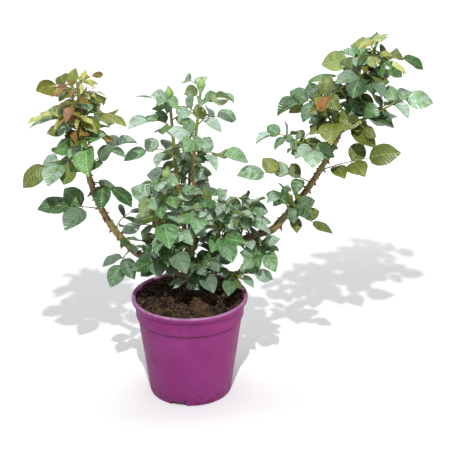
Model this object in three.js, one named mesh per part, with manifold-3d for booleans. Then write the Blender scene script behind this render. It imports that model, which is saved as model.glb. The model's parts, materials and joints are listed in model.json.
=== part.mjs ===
// A young bush rose in its plastic nursery pot, leafed out and in bud, with two long canes that
// arch out to either side of a low leafy middle. Millimetres, +Z up. The origin is on the ground,
// at the middle of the pot's underside, and the photographed side faces -Y.
import * as THREE from "three";
import { OBB } from "three/addons/math/OBB.js";
import { mergeVertices } from "three/addons/utils/BufferGeometryUtils.js";
import Module from "manifold-3d";

const wasm = await Module();
wasm.setup();

// Clearances
const GAP = 0.3; // between pieces that touch
const LEAF_CLEARANCE = 0.6; // from a leaf to any limb that isn't its own
const FUSED_DETAIL = 0.35; // edges shorter than this are dropped from a fused mass
const LIMB_DETAIL = 0.1; // and from a limb

// Pot: 19 cm across the lip, with a rolled lip, a straight band under it and a tapering wall
const POT_HEIGHT = 170;
const LIP_RADIUS = 95;
const LIP_HEIGHT = 8;
const BAND_TOP_RADIUS = 90;
const BAND_BOTTOM_RADIUS = 87.5;
const BAND_HEIGHT = 25;
const BAND_STEP = 1.2; // how far the wall sets in under the band
const FOOT_RADIUS = 67.5;
const FOOT_CORNER = 7; // radius of the rounded bottom corner
const WALL = 2;
const CHANNEL_INNER = 45; // drainage channel under the floor
const CHANNEL_OUTER = 60;
const CHANNEL_DEPTH = 6;
const NOTCH_WIDTH = 25;
const NOTCH_HEIGHT = 6;
const NOTCHES = 3;
const FIRST_NOTCH = -105; // heading, degrees
const DRAIN_HOLES = 6;
const DRAIN_RADIUS = 5;
const POT_SIDES = 32;

// Compost
const SOIL_LEVEL = 156;
const SOIL_SIDES = 24;
const SOIL_RELIEF = 3; // height of its lumps
const SOIL_FLAT_RADIUS = 20; // level ground round the foot of the plant

// Leaves. One leaf has a stalk with pairs of leaflets and a leaflet at its end.
const GOLDEN_TURN = 137.5; // degrees round the stem from one leaf to the next
const STALK_RADIUS = 1;
const LEAFLET_BASE = 1.3; // thickness where a leaflet joins the stalk
const LEAFLET_BREADTH = 0.68; // breadth as a share of length
const LEAFLET_FOLD = 0.22; // rise of the margin per unit of half breadth
const LEAFLET_SHOULDERS = [
  [0.36, 0.5],
  [0.72, 0.36],
]; // share of length, half breadth as a share of breadth
const PAIR_SCALE = [0.72, 0.88]; // size of the first and last pair as a share of the end leaflet
const PAIR_ANGLE = 62; // of a side leaflet from the stalk
const PAIR_SPACING = 0.34; // between pairs, as a share of the stalk
const PAIRED_SHARE = 0.75; // most of a stalk that pairs may take up
const CROWDING = 0.44; // least distance between leaflet middles, as a share of length
const STALK_STEPS = 2;
const OUTWARD = 0.5; // how far a leaf faces away from its stem, per unit of facing up
const SUNNY_SIDE = new THREE.Vector3(0, -0.5, 0);

// Chance in the growth: degrees either way, or the least and most share
const LEAF_TURNED = 0.45; // of a leaf's facing, per unit of facing up
const LEAFLET_TURNED = 0.25; // and of one leaflet's
const PAIR_SPREAD = 8; // of the angle of a pair
const END_SPREAD = 10; // of the angle of an end leaflet
const HEADING_SPREAD = 20; // of a leaf round its stem
const RISE_SPREAD = 12; // of a leaf's rise
const HANGS = [0.6, 1.4];
const LENGTHS = [0.92, 1.08];
const BREADTHS = [0.93, 1.07];
const STALKS = [0.85, 1.15];
const PRICKLE_SPREAD = 30; // of a prickle round its limb
const PRICKLE_LENGTHS = [0.75, 1.25];

// Shoots: leaves rise and shrink from the foot of a stem to its tip, where a few twigs also grow
const LAST_LEAF = 0.97; // share of the stem
const LIFT_TO_TIP = 20; // degrees
const TIP_SHRINK = 0.3;
const TWIG = { rise: 38, bend: 24, length: 46 };
const TWIG_SHARES = [0.3, 0.85]; // of the stem, from which twigs grow
const TWIG_SPIN = 60; // heading of the first twig from that of the first leaf
const TWIG_LEAVES = [0.5, 0.75, 1]; // shares of a twig
const TWIG_LEAF_SCALE = 0.8;
const TWIG_LEAF_SPREAD = 15;

// Buds and prickles
const BUD_SIDES = 6;
const BUD_PROFILE = [
  [0, -3],
  [0.45, 0],
  [0.5, 0.18],
  [1, 0.42],
  [0.75, 0.72],
  [0.2, 0.95],
  [0, 1.15],
]; // share of radius, share of length, or mm where it reaches down into the stem
const BUD_TALL = 3.4; // height per unit of radius
const PRICKLE_LENGTH = 7;
const PRICKLE_BASE = 2.4; // half length of its foot along the limb
const PRICKLE_LEAN = 0.35; // of its tip down the limb, as a share of length
const PRICKLE_FREE_ENDS = 0.06; // share of a limb at either end with no prickles
const PRICKLE_FREE_ROOT = 11; // distance from the root of a branch or leaf

// The limbs, from the foot up. Each starts on another limb, a share of the way along it, and is
// an arc: heading and rise are its mean direction in degrees, bend and turn how far they change.
const TRUNK = {
  name: "main_stem",
  start: [7, 24, SOIL_LEVEL + GAP],
  heading: -150,
  rise: 83,
  length: 64,
  radius: [10.5, 9],
  flare: 6,
  sides: 10,
};
const LIMBS = [
  TRUNK,
  { name: "left_cane_foot", on: "main_stem", at: 0.8, heading: -168, rise: 21, bend: 24, length: 95,
    radius: [6.2, 5.8], prickles: 9 },
  { name: "left_cane", on: "left_cane_foot", at: 1, heading: -161, rise: 67, bend: 42, length: 195,
    radius: [5.8, 4.4], prickles: 18 },
  { name: "right_cane_foot", on: "main_stem", at: 0.86, heading: 4, rise: 24, bend: -16, length: 146,
    radius: [6.4, 6], prickles: 8 },
  { name: "right_cane", on: "right_cane_foot", at: 1, heading: 7, rise: 57, bend: 24, length: 200,
    radius: [6, 3.8], prickles: 19 },
  { name: "front_shoot", on: "main_stem", at: 0.42, heading: -135, rise: 62, bend: 70, turn: 30,
    length: 150, radius: [4.2, 3.2], prickles: 6 },
  { name: "left_shoot", on: "main_stem", at: 1, heading: 158, rise: 82, bend: 4, length: 165,
    radius: [4, 3.2], prickles: 8 },
  { name: "middle_shoot", on: "main_stem", at: 0.58, heading: -80, rise: 82, bend: 24, length: 200,
    radius: [3.6, 2.6], prickles: 6 },
  { name: "low_twig", on: "main_stem", at: 0.26, heading: -22, rise: 28, bend: -60, length: 80,
    radius: [3, 2.2], prickles: 2 },
  { name: "back_shoot", on: "main_stem", at: 0.6, heading: 95, rise: 60, bend: 40, length: 120,
    radius: [4, 3], prickles: 4 },
];

// The leafy masses. Each is one stem with its own leaves, on the limb named.
// leaves: leaves along the stem; none means that the stem is itself the stalk of one leaf
// size: length of an end leaflet; stalk: length of a leaf stalk; lift: its rise; droop: its bend
// spin: heading of the first leaf; first: share of the stem below it; twigs: side twigs
const MASS_DEFAULTS = {
  bend: 0,
  turn: 0,
  leaves: 0,
  leaflets: 5,
  size: 44,
  stalk: 46,
  lift: 16,
  droop: 60,
  hang: 0.35,
  spin: 0,
  first: 0.12,
  twigs: 0,
  bud: 0,
  seed: 1,
};
const MASSES = [
  { name: "left_crown", on: "left_cane", at: 1, heading: -109, rise: 83, length: 112,
    radius: [4.4, 2.2], leaves: 10, size: 50, stalk: 40, lift: 8, spin: 150, twigs: 1, seed: 11 },
  { name: "left_outer_leaf", on: "left_cane", at: 0.93, heading: -166, rise: -2, length: 62,
    radius: [1.4, 1], size: 52, droop: 40, hang: 0.6, seed: 3 },
  { name: "left_mid_leaf", on: "left_cane", at: 0.5, heading: -172, rise: 8, length: 44,
    radius: [1.5, 1], size: 58, leaflets: 3, droop: 16, hang: 0.1, seed: 4 },
  { name: "left_inner_leaf", on: "left_cane", at: 0.28, heading: 39, rise: 38, length: 38,
    radius: [1.2, 0.9], size: 34, seed: 3 },
  { name: "left_crown_side", on: "left_cane", at: 0.85, heading: -13, rise: 41, length: 44,
    radius: [2, 1.4], leaves: 3, size: 50, stalk: 26, spin: 120, seed: 20 },
  { name: "left_cane_leaf", on: "left_cane", at: 0.75, heading: -24, rise: -6, length: 34,
    radius: [1.3, 0.9], size: 44, droop: 30, hang: 0.7, seed: 5 },
  { name: "left_low_leaf", on: "left_cane", at: 0.05, heading: -127, rise: -28, length: 34,
    radius: [1.4, 1], size: 42, seed: 7 },
  { name: "front_shoot_top", on: "front_shoot", at: 1, heading: -22, rise: 78, length: 66,
    radius: [3.2, 2.2], leaves: 6, size: 46, stalk: 34, spin: -60, bud: 6.5, seed: 8 },
  { name: "front_side_leaves", on: "front_shoot", at: 0.6, heading: -56, rise: 50, length: 56,
    radius: [2, 1.4], leaves: 5, size: 46, stalk: 32, spin: 180, seed: 1 },
  { name: "front_low_leaves", on: "front_shoot", at: 0.3, heading: -137, rise: 35, length: 44,
    radius: [2, 1.4], leaves: 4, size: 40, stalk: 30, spin: 300, seed: 11 },
  { name: "left_shoot_top", on: "left_shoot", at: 1, heading: 142, rise: 85, length: 100,
    radius: [3.2, 2], leaves: 7, size: 42, stalk: 46, spin: 175, bud: 6.5, seed: 9 },
  { name: "left_shoot_leaves", on: "left_shoot", at: 0.5, heading: 146, rise: 30, length: 54,
    radius: [2, 1.4], leaves: 4, size: 42, stalk: 34, spin: 300, seed: 23 },
  { name: "middle_shoot_top", on: "middle_shoot", at: 1, heading: 38, rise: 82, length: 116,
    radius: [2.6, 1.8], leaves: 7, size: 44, stalk: 44, spin: 0, bud: 6, seed: 10 },
  { name: "middle_right_leaves", on: "right_cane_foot", at: 0.3, heading: -63, rise: 68, bend: 10,
    length: 104, radius: [2.6, 1.6], leaves: 8, size: 46, stalk: 40, seed: 21 },
  { name: "right_middle_leaves", on: "right_cane_foot", at: 0.6, heading: -67, rise: 58, length: 76,
    radius: [2, 1.4], leaves: 6, size: 42, stalk: 36, spin: 120, seed: 4 },
  { name: "middle_shoot_leaves", on: "middle_shoot", at: 0.55, heading: -40, rise: 46, length: 48,
    radius: [2, 1.4], leaves: 4, size: 42, stalk: 34, spin: 120, seed: 57 },
  { name: "middle_low_leaves", on: "main_stem", at: 0.7, heading: -68, rise: 34, length: 60,
    radius: [2, 1.4], leaves: 5, size: 40, stalk: 32, spin: 180, seed: 1 },
  { name: "low_front_leaf", on: "main_stem", at: 0.2, heading: -110, rise: 34, length: 60,
    radius: [1.3, 0.9], size: 36, droop: 50, seed: 56 },
  { name: "low_right_leaves", on: "low_twig", at: 1, heading: -28, rise: -20, length: 24,
    radius: [2.2, 1.4], leaves: 3, size: 36, stalk: 28, lift: 0, spin: 240, seed: 3 },
  { name: "right_hanging_leaves", on: "right_cane_foot", at: 0.84, heading: -88, rise: -40,
    length: 40, radius: [1.8, 1.2], leaves: 4, size: 42, stalk: 26, lift: -5, spin: 180, seed: 4 },
  { name: "right_low_outer_leaf", on: "right_cane", at: 0.15, heading: -28, rise: 0, length: 48,
    radius: [1.3, 0.9], size: 38, seed: 16 },
  { name: "right_cane_leaves", on: "right_cane", at: 0.2, heading: -108, rise: 49, length: 44,
    radius: [1.8, 1.2], leaves: 4, size: 40, stalk: 26, spin: 180, seed: 40 },
  { name: "right_inner_leaf", on: "right_cane", at: 0.5, heading: -160, rise: 18, length: 84,
    radius: [1.5, 1], size: 44, leaflets: 7, droop: 30, seed: 13 },
  { name: "right_outer_leaf", on: "right_cane", at: 0.62, heading: -14, rise: 19, length: 78,
    radius: [1.5, 1], size: 50, droop: 10, hang: 0, seed: 15 },
  { name: "right_side_shoot", on: "right_cane", at: 0.76, heading: -165, rise: 26, length: 74,
    radius: [2.2, 1.4], leaves: 4, size: 48, stalk: 34, spin: 120, seed: 23 },
  { name: "right_crown_left", on: "right_cane", at: 0.94, heading: -156, rise: 58, length: 80,
    radius: [2.6, 1.6], leaves: 5, size: 56, stalk: 36, spin: 120, seed: 23 },
  { name: "right_crown_right", on: "right_cane", at: 0.96, heading: -19, rise: 33, length: 94,
    radius: [2.6, 1.6], leaves: 4, size: 62, stalk: 34, spin: -70, seed: 1 },
  { name: "right_crown", on: "right_cane", at: 1, heading: 3, rise: 70, length: 146,
    radius: [3.8, 2], leaves: 12, size: 54, stalk: 42, lift: 4, spin: 170, twigs: 2, seed: 18 },
  { name: "back_leaves", on: "back_shoot", at: 1, heading: 88, rise: 66, length: 84,
    radius: [3, 1.8], leaves: 5, size: 48, stalk: 44, seed: 24 },
  { name: "back_right_leaves", on: "right_cane_foot", at: 0.34, heading: 53, rise: 45, length: 70,
    radius: [2.2, 1.4], leaves: 5, size: 46, stalk: 36, spin: 180, seed: 32 },
  { name: "back_left_leaves", on: "left_cane_foot", at: 0.3, heading: 132, rise: 50, length: 70,
    radius: [2.2, 1.4], leaves: 5, size: 46, stalk: 36, seed: 4 },
  { name: "right_crown_back", on: "right_cane", at: 0.93, heading: 104, rise: 46, length: 56,
    radius: [2.4, 1.6], leaves: 4, size: 50, stalk: 36, seed: 39 },
];

const FINISHES = {
  pot: { color: "#8e3f78", roughness: 0.42 },
  soil: { color: "#3b2c22", roughness: 0.95 },
  bark: { color: "#76602f", roughness: 0.6 },
  leaf: { color: "#4f8a55", roughness: 0.45 },
};

const vec = (x, y, z) => new THREE.Vector3(x, y, z);
const rad = THREE.MathUtils.degToRad;
const lerp = THREE.MathUtils.lerp;

// A seeded source of numbers from 0 to 1: the Park-Miller generator.
function seeded(seed) {
  let state = seed * 7919;
  const next = () => {
    state = (state * 16807) % 2147483647;
    return state / 2147483647;
  };
  next();
  return next;
}

// A random amount up to `most` either way, and a random one between two.
const jitter = (random, most) => (random() * 2 - 1) * most;
const between = (random, [least, most]) => lerp(least, most, random());

// The points of an arc with the mean heading and rise given.
function arc(start, { heading, rise, length, bend = 0, turn = 0 }, steps) {
  const points = [start.clone()];
  for (let i = 0; i < steps; i++) {
    const share = (i + 0.5) / steps - 0.5;
    const up = rad(rise + bend * share);
    const round = rad(heading + turn * share);
    const step = vec(
      Math.cos(round) * Math.cos(up),
      Math.sin(round) * Math.cos(up),
      Math.sin(up),
    );
    points.push(points[i].clone().addScaledVector(step, length / steps));
  }
  return points;
}

// The point a share of the way along a chain of points.
function along(points, share) {
  const place = share * (points.length - 1);
  const i = Math.min(Math.floor(place), points.length - 2);
  return points[i].clone().lerp(points[i + 1], place - i);
}

// The direction of a chain of points there.
function direction(points, share) {
  const i = Math.min(Math.floor(share * (points.length - 1)), points.length - 2);
  return points[i + 1].clone().sub(points[i]).normalize();
}

// Solids and geometry
function solidOf(geometry) {
  const bare = new THREE.BufferGeometry();
  bare.setAttribute("position", geometry.getAttribute("position"));
  bare.setIndex(geometry.index);
  const merged = mergeVertices(bare, 1e-4);
  const kept = [];
  const corners = merged.index.array;
  for (let i = 0; i < corners.length; i += 3) {
    const [a, b, c] = [corners[i], corners[i + 1], corners[i + 2]];
    if (a !== b && b !== c && c !== a) kept.push(a, b, c);
  }
  return new wasm.Manifold(
    new wasm.Mesh({
      numProp: 3,
      vertProperties: new Float32Array(merged.getAttribute("position").array),
      triVerts: new Uint32Array(kept),
    }),
  );
}

// A fused solid without its loose scraps and the slivers along its seams.
function tidied(solid, detail = FUSED_DETAIL) {
  const largest = solid.decompose().sort((a, b) => b.volume() - a.volume())[0];
  return largest.asOriginal().simplify(detail);
}

function geometryOf(solid) {
  const { vertProperties, triVerts } = solid.getMesh();
  const geometry = new THREE.BufferGeometry();
  geometry.setAttribute("position", new THREE.BufferAttribute(vertProperties, 3));
  geometry.setIndex(new THREE.BufferAttribute(triVerts, 1));
  geometry.computeVertexNormals();
  return geometry;
}

// A closed body from corner points and the faces between them.
function faceted(corners, faces) {
  const geometry = new THREE.BufferGeometry();
  geometry.setFromPoints(corners);
  geometry.setIndex(faces.flat());
  return solidOf(geometry);
}

// A solid of revolution about +Z from [radius, height] pairs.
function turned(profile, sides) {
  const points = profile.map(([radius, height]) => new THREE.Vector2(radius, height));
  return new THREE.LatheGeometry(points, sides).rotateX(Math.PI / 2);
}

// A tube with flat ends, through the points, with a radius for each.
function tube(points, radii, sides) {
  const last = points.length - 1;
  const corners = [];
  let across = vec(0, 1, 0);
  points.forEach((point, i) => {
    const ahead = points[Math.min(i + 1, last)].clone().sub(points[Math.max(i - 1, 0)]);
    ahead.normalize();
    if (Math.abs(ahead.dot(across)) > 0.9) across = vec(1, 0, 0);
    across = across.clone().addScaledVector(ahead, -across.dot(ahead)).normalize();
    const other = ahead.clone().cross(across);
    for (let k = 0; k < sides; k++) {
      const angle = (2 * Math.PI * k) / sides;
      corners.push(
        point.clone()
          .addScaledVector(across, radii[i] * Math.cos(angle))
          .addScaledVector(other, radii[i] * Math.sin(angle)),
      );
    }
  });
  const faces = [];
  for (let i = 0; i < last; i++) {
    for (let k = 0; k < sides; k++) {
      const [a, b] = [i * sides + k, i * sides + ((k + 1) % sides)];
      faces.push([a, b, b + sides], [a, b + sides, a + sides]);
    }
  }
  for (let k = 1; k < sides - 1; k++) {
    faces.push([0, k + 1, k]);
    faces.push([last * sides, last * sides + k, last * sides + k + 1]);
  }
  return faceted(corners, faces);
}

// Limbs
const LIMB_STEP = 18; // length of one facet of a limb
const LEAST_STEPS = 3;
const limbSteps = (length) => Math.max(LEAST_STEPS, Math.round(length / LIMB_STEP));

function growLimb(row, limbs) {
  const parent = limbs.get(row.on);
  const start = parent ? along(parent.points, row.at) : vec(...row.start);
  const steps = limbSteps(row.length);
  const points = arc(start, row, steps);
  const radii = points.map((point, i) => {
    const share = i / steps;
    return lerp(row.radius[0], row.radius[1], share) + (row.flare ?? 0) * (1 - share) ** 6;
  });
  return { ...row, parent, points, radii, sides: row.sides ?? 8 };
}

// The space round a limb that its branches and leaves keep out of.
function sleeve(limb, gap) {
  const { points, radii, sides } = limb;
  const last = points.length - 1;
  const reach = points.map((point) => point.clone());
  reach[0].addScaledVector(direction(points, 0), -gap);
  reach[last].addScaledVector(direction(points, 1), gap);
  const grown = radii.map((radius) => (radius + gap) / Math.cos(Math.PI / sides) ** 0.5);
  return tube(reach, grown, sides);
}

// The main stem, cut off level at the ground.
function mainStemSolid({ points, radii, sides }) {
  const foot = points[0].clone().addScaledVector(direction(points, 0), -2 * SOIL_FLAT_RADIUS);
  const body = tube([foot, ...points], [radii[0], ...radii], sides);
  const ground = new THREE.BoxGeometry(200, 200, 100).translate(0, 0, SOIL_LEVEL + GAP - 50);
  return body.subtract(solidOf(ground));
}

// Prickles are hooks that point out and a little down the limb.
function prickles(limb, roots) {
  const random = seeded(limb.name.length * 31 + limb.prickles);
  const made = [];
  for (let i = 0; i < (limb.prickles ?? 0); i++) {
    const free = PRICKLE_FREE_ENDS;
    const share = lerp(free, 1 - free, (i + random() * 0.8) / limb.prickles);
    const root = along(limb.points, share);
    const ahead = direction(limb.points, share);
    const side = vec(0, 1, 0).cross(ahead).normalize();
    const out = side.applyAxisAngle(ahead, rad(i * GOLDEN_TURN + jitter(random, PRICKLE_SPREAD)));
    const radius = lerp(limb.radius[0], limb.radius[1], share);
    const length = PRICKLE_LENGTH * between(random, PRICKLE_LENGTHS);
    if (roots.some((other) => other.distanceTo(root) < PRICKLE_FREE_ROOT)) continue;
    made.push({ root, ahead, out, radius, length });
  }
  return made;
}

function prickleSolid({ root, ahead, out, radius, length }) {
  const side = ahead.clone().cross(out);
  const foot = root.clone().addScaledVector(out, radius / 2);
  const heel = foot.clone().addScaledVector(ahead, -PRICKLE_BASE * 1.3);
  const corners = [
    foot.clone().addScaledVector(ahead, PRICKLE_BASE),
    heel.clone().add(side),
    heel.clone().sub(side),
    root.clone().addScaledVector(out, radius + length).addScaledVector(ahead, -length * PRICKLE_LEAN),
  ];
  return faceted(corners, [[0, 3, 1], [1, 3, 2], [2, 3, 0], [0, 1, 2]]);
}

// The part of a direction that is square to another.
const squared = (way, other) => way.clone().addScaledVector(other, -way.dot(other)).normalize();

// One leaf: a stalk along an arc, pairs of side leaflets and an end leaflet. Blades turn their
// upper face up, outwards and to the sunny side, and their tips hang.
function growLeaf(start, form, random) {
  const points = arc(start, { ...form, length: form.stalk, bend: -form.droop }, STALK_STEPS);
  const round = rad(form.heading);
  const sky = vec(Math.cos(round) * OUTWARD, Math.sin(round) * OUTWARD, 1).add(SUNNY_SIDE);
  const facing = (most) => vec(jitter(random, most), jitter(random, most), 0);
  sky.add(facing(LEAF_TURNED)).normalize();
  const pairs = (form.leaflets - 1) / 2;
  const leaflets = [];
  const place = (share, angle, scale) => {
    const ahead = direction(points, share);
    const way = ahead.clone().applyAxisAngle(squared(sky, ahead), rad(angle));
    way.z -= form.hang * between(random, HANGS);
    way.normalize();
    const up = squared(sky.clone().add(facing(LEAFLET_TURNED)).normalize(), way);
    const length = form.size * scale * between(random, LENGTHS);
    leaflets.push({
      root: along(points, share),
      way,
      across: up.clone().cross(way),
      up,
      length,
      breadth: length * LEAFLET_BREADTH * between(random, BREADTHS),
    });
  };
  for (let i = 0; i < pairs; i++) {
    const share = 1 - Math.min(PAIR_SPACING, PAIRED_SHARE / pairs) * (pairs - i);
    const scale = lerp(...PAIR_SCALE, (i + 1) / pairs);
    const angle = PAIR_ANGLE + jitter(random, PAIR_SPREAD);
    place(share, angle, scale);
    place(share, -angle, scale);
  }
  place(1, jitter(random, END_SPREAD), 1);
  return { points, leaflets };
}

// The stem, stalks and leaflets of one mass, before anything is skipped.
function growMass(row, limbs) {
  const form = { ...MASS_DEFAULTS, ...row };
  const random = seeded(form.seed);
  const limb = limbs.get(form.on);
  const start = along(limb.points, form.at);
  if (!form.leaves) {
    const leaf = growLeaf(start, { ...form, stalk: form.length }, random);
    return { ...form, limb, stem: leaf.points, leaves: [], twigs: [], own: leaf.leaflets };
  }
  const stem = arc(start, form, limbSteps(form.length));
  const leaves = [];
  const twigs = [];
  const leafOn = (points, share, heading, scale) => {
    const leaf = growLeaf(along(points, share), {
      ...form,
      heading,
      rise: form.lift + LIFT_TO_TIP * (share - 0.5) + jitter(random, RISE_SPREAD),
      stalk: form.stalk * scale * between(random, STALKS),
      size: form.size * scale,
    }, random);
    leaves.push(leaf);
  };
  for (let i = 0; i < form.leaves; i++) {
    const share = lerp(form.first, LAST_LEAF, i / Math.max(1, form.leaves - 1));
    const heading = form.spin + i * GOLDEN_TURN + jitter(random, HEADING_SPREAD);
    leafOn(stem, share, heading, 1 - TIP_SHRINK * share * share);
  }
  for (let i = 0; i < form.twigs; i++) {
    const heading = form.spin + TWIG_SPIN + i * GOLDEN_TURN;
    const root = along(stem, lerp(...TWIG_SHARES, i / form.twigs));
    const points = arc(root, { ...TWIG, heading }, LEAST_STEPS);
    twigs.push(points);
    TWIG_LEAVES.forEach((share, k) => {
      const round = heading + (k - 1) * GOLDEN_TURN + jitter(random, TWIG_LEAF_SPREAD);
      leafOn(points, share, round, TWIG_LEAF_SCALE);
    });
  }
  return { ...form, limb, stem, twigs, leaves, own: [] };
}

// The corners of a leaflet's outline, starting at its root.
function outline({ root, way, across, up, length, breadth }) {
  const edge = (share, half) =>
    root.clone()
      .addScaledVector(way, share * length)
      .addScaledVector(across, half * breadth)
      .addScaledVector(up, Math.abs(half) * breadth * LEAFLET_FOLD);
  const [near, far] = LEAFLET_SHOULDERS;
  return [
    root,
    edge(near[0], -near[1]),
    edge(far[0], -far[1]),
    edge(1, 0),
    edge(far[0], far[1]),
    edge(near[0], near[1]),
  ];
}

function leafletSolid(leaflet) {
  const [root, a, b, tip, c, d] = outline(leaflet);
  const top = root.clone().addScaledVector(leaflet.up, LEAFLET_BASE / 2);
  const bottom = root.clone().addScaledVector(leaflet.up, -LEAFLET_BASE / 2);
  const faces = [
    [0, 2, 3], [0, 3, 4], [0, 4, 5], [0, 5, 6],
    [1, 3, 2], [1, 4, 3], [1, 5, 4], [1, 6, 5],
    [0, 1, 2], [1, 0, 6],
  ];
  return faceted([top, bottom, a, b, tip, c, d], faces);
}

// The box round a leaflet or a straight length of stem: a middle, three directions, half sizes.
function box(middle, directions, halves) {
  const turn = new THREE.Matrix3().setFromMatrix4(new THREE.Matrix4().makeBasis(...directions));
  return new OBB(middle, vec(...halves), turn);
}

function leafletBox({ root, way, across, up, length, breadth }) {
  const rise = (breadth / 2) * LEAFLET_FOLD;
  const middle = root.clone()
    .addScaledVector(way, length / 2)
    .addScaledVector(up, (rise - LEAFLET_BASE / 2) / 2);
  return box(middle, [way, across, up], [length / 2, breadth / 2, (rise + LEAFLET_BASE / 2) / 2]);
}

function lengthBoxes(points, radii, gap) {
  return points.slice(1).map((point, i) => {
    const ahead = point.clone().sub(points[i]);
    const half = ahead.length() / 2;
    ahead.normalize();
    const across = squared(Math.abs(ahead.z) < 0.9 ? vec(0, 0, 1) : vec(1, 0, 0), ahead);
    const radius = Math.max(radii[i], radii[i + 1]) + gap;
    const middle = point.clone().add(points[i]).divideScalar(2);
    return box(middle, [ahead, across, ahead.clone().cross(across)], [half + gap, radius, radius]);
  });
}

const stemRadii = (mass) =>
  mass.stem.map((point, i) => lerp(mass.radius[0], mass.radius[1], i / (mass.stem.length - 1)));

// Drops the leaves and leaflets of a mass that would touch a limb or another mass, or crowd a
// leaflet of its own. `taken` holds the boxes of what stands already, with the name of each owner.
function thin(mass, taken) {
  const kept = [];
  const free = (body) =>
    taken.every((other) => other.name === mass.name || !other.body.intersectsOBB(body));
  const middleOf = ({ root, way, length }) => root.clone().addScaledVector(way, length / 2);
  const fits = (leaflet) => {
    const middle = middleOf(leaflet);
    if (kept.some((other) => other.distanceTo(middle) < CROWDING * leaflet.length)) return false;
    if (!free(leafletBox(leaflet))) return false;
    kept.push(middle);
    return true;
  };
  mass.own = mass.own.filter(fits);
  mass.leaves = mass.leaves
    .filter((leaf) => lengthBoxes(leaf.points, leaf.points.map(() => STALK_RADIUS), 0).every(free))
    .map((leaf) => ({ ...leaf, leaflets: leaf.leaflets.filter(fits) }))
    .filter((leaf) => leaf.leaflets.length);
  for (const leaflet of mass.own) taken.push({ name: mass.name, body: leafletBox(leaflet) });
  for (const { points, leaflets } of mass.leaves) {
    occupy(taken, mass.name, points, points.map(() => STALK_RADIUS));
    for (const leaflet of leaflets) taken.push({ name: mass.name, body: leafletBox(leaflet) });
  }
}

function occupy(taken, name, points, radii) {
  for (const body of lengthBoxes(points, radii, LEAF_CLEARANCE)) taken.push({ name, body });
}

// A flower bud: a swollen hip, then sepals drawn to a point.
function budSolid(mass) {
  const tip = along(mass.stem, 1);
  const profile = BUD_PROFILE.map(([share, height]) => [
    share * mass.bud,
    height < 0 ? height : height * mass.bud * BUD_TALL,
  ]);
  const turn = new THREE.Quaternion().setFromUnitVectors(vec(0, 0, 1), direction(mass.stem, 1));
  const geometry = turned(profile, BUD_SIDES).applyQuaternion(turn).translate(tip.x, tip.y, tip.z);
  return solidOf(geometry);
}

function massSolid(mass) {
  let solid = tube(mass.stem, stemRadii(mass), mass.radius[0] > 3 ? 6 : 4);
  for (const points of mass.twigs) {
    solid = solid.add(tube(points, points.map(() => mass.radius[1]), 4));
  }
  for (const leaf of mass.leaves) {
    solid = solid.add(tube(leaf.points, leaf.points.map(() => STALK_RADIUS), 3));
    for (const leaflet of leaf.leaflets) solid = solid.add(leafletSolid(leaflet));
  }
  for (const leaflet of mass.own) solid = solid.add(leafletSolid(leaflet));
  if (mass.bud) solid = solid.add(budSolid(mass));
  return tidied(solid.subtract(sleeve(mass.limb, GAP)));
}

// The pot's outer profile from the middle of the floor to the lip, and its inner one back.
function potSolid() {
  const bandFoot = POT_HEIGHT - LIP_HEIGHT - BAND_HEIGHT;
  const wallTop = BAND_BOTTOM_RADIUS - BAND_STEP;
  const slope = (wallTop - FOOT_RADIUS) / (bandFoot - FOOT_CORNER);
  const wallAt = (z) => FOOT_RADIUS + slope * (z - FOOT_CORNER);
  const corner = [0.25, 0.5, 0.75].map((share) => {
    const angle = (share * Math.PI) / 2;
    return [
      FOOT_RADIUS - FOOT_CORNER * (1 - Math.sin(angle)),
      FOOT_CORNER * (1 - Math.cos(angle)),
    ];
  });
  const floor = CHANNEL_DEPTH + WALL;
  const profile = [
    [0, 0],
    [CHANNEL_INNER, 0],
    [CHANNEL_INNER + 2, CHANNEL_DEPTH],
    [CHANNEL_OUTER - 2, CHANNEL_DEPTH],
    [CHANNEL_OUTER - 1, 0],
    ...corner,
    [FOOT_RADIUS, FOOT_CORNER],
    [wallTop, bandFoot],
    [BAND_BOTTOM_RADIUS, bandFoot + 1],
    [BAND_TOP_RADIUS, POT_HEIGHT - LIP_HEIGHT - 1],
    [LIP_RADIUS - 1, POT_HEIGHT - LIP_HEIGHT],
    [LIP_RADIUS, POT_HEIGHT - LIP_HEIGHT / 2],
    [LIP_RADIUS - 1.2, POT_HEIGHT - 1],
    [LIP_RADIUS - 2.6, POT_HEIGHT],
    [BAND_TOP_RADIUS - WALL, POT_HEIGHT - 2],
    [BAND_BOTTOM_RADIUS - WALL - 1, bandFoot],
    [wallAt(floor + 4) - WALL, floor + 4],
    [CHANNEL_OUTER, floor],
    [0, floor],
  ];
  let pot = solidOf(turned(profile, POT_SIDES));
  for (let i = 0; i < NOTCHES; i++) {
    const notch = new THREE.BoxGeometry(FOOT_RADIUS, NOTCH_WIDTH, 2 * NOTCH_HEIGHT);
    notch.translate(CHANNEL_OUTER - 5 + FOOT_RADIUS / 2, 0, 0);
    notch.rotateZ(rad(FIRST_NOTCH + (360 / NOTCHES) * i));
    pot = pot.subtract(solidOf(notch));
  }
  for (let i = 0; i < DRAIN_HOLES; i++) {
    const hole = new THREE.CylinderGeometry(DRAIN_RADIUS, DRAIN_RADIUS, 4 * floor, 10);
    hole.rotateX(Math.PI / 2).translate((CHANNEL_INNER + CHANNEL_OUTER) / 2, 0, 0);
    hole.rotateZ(rad(FIRST_NOTCH + 30 + (360 / DRAIN_HOLES) * i));
    pot = pot.subtract(solidOf(hole));
  }
  return { pot, floor, wallAt, bandFoot };
}

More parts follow.
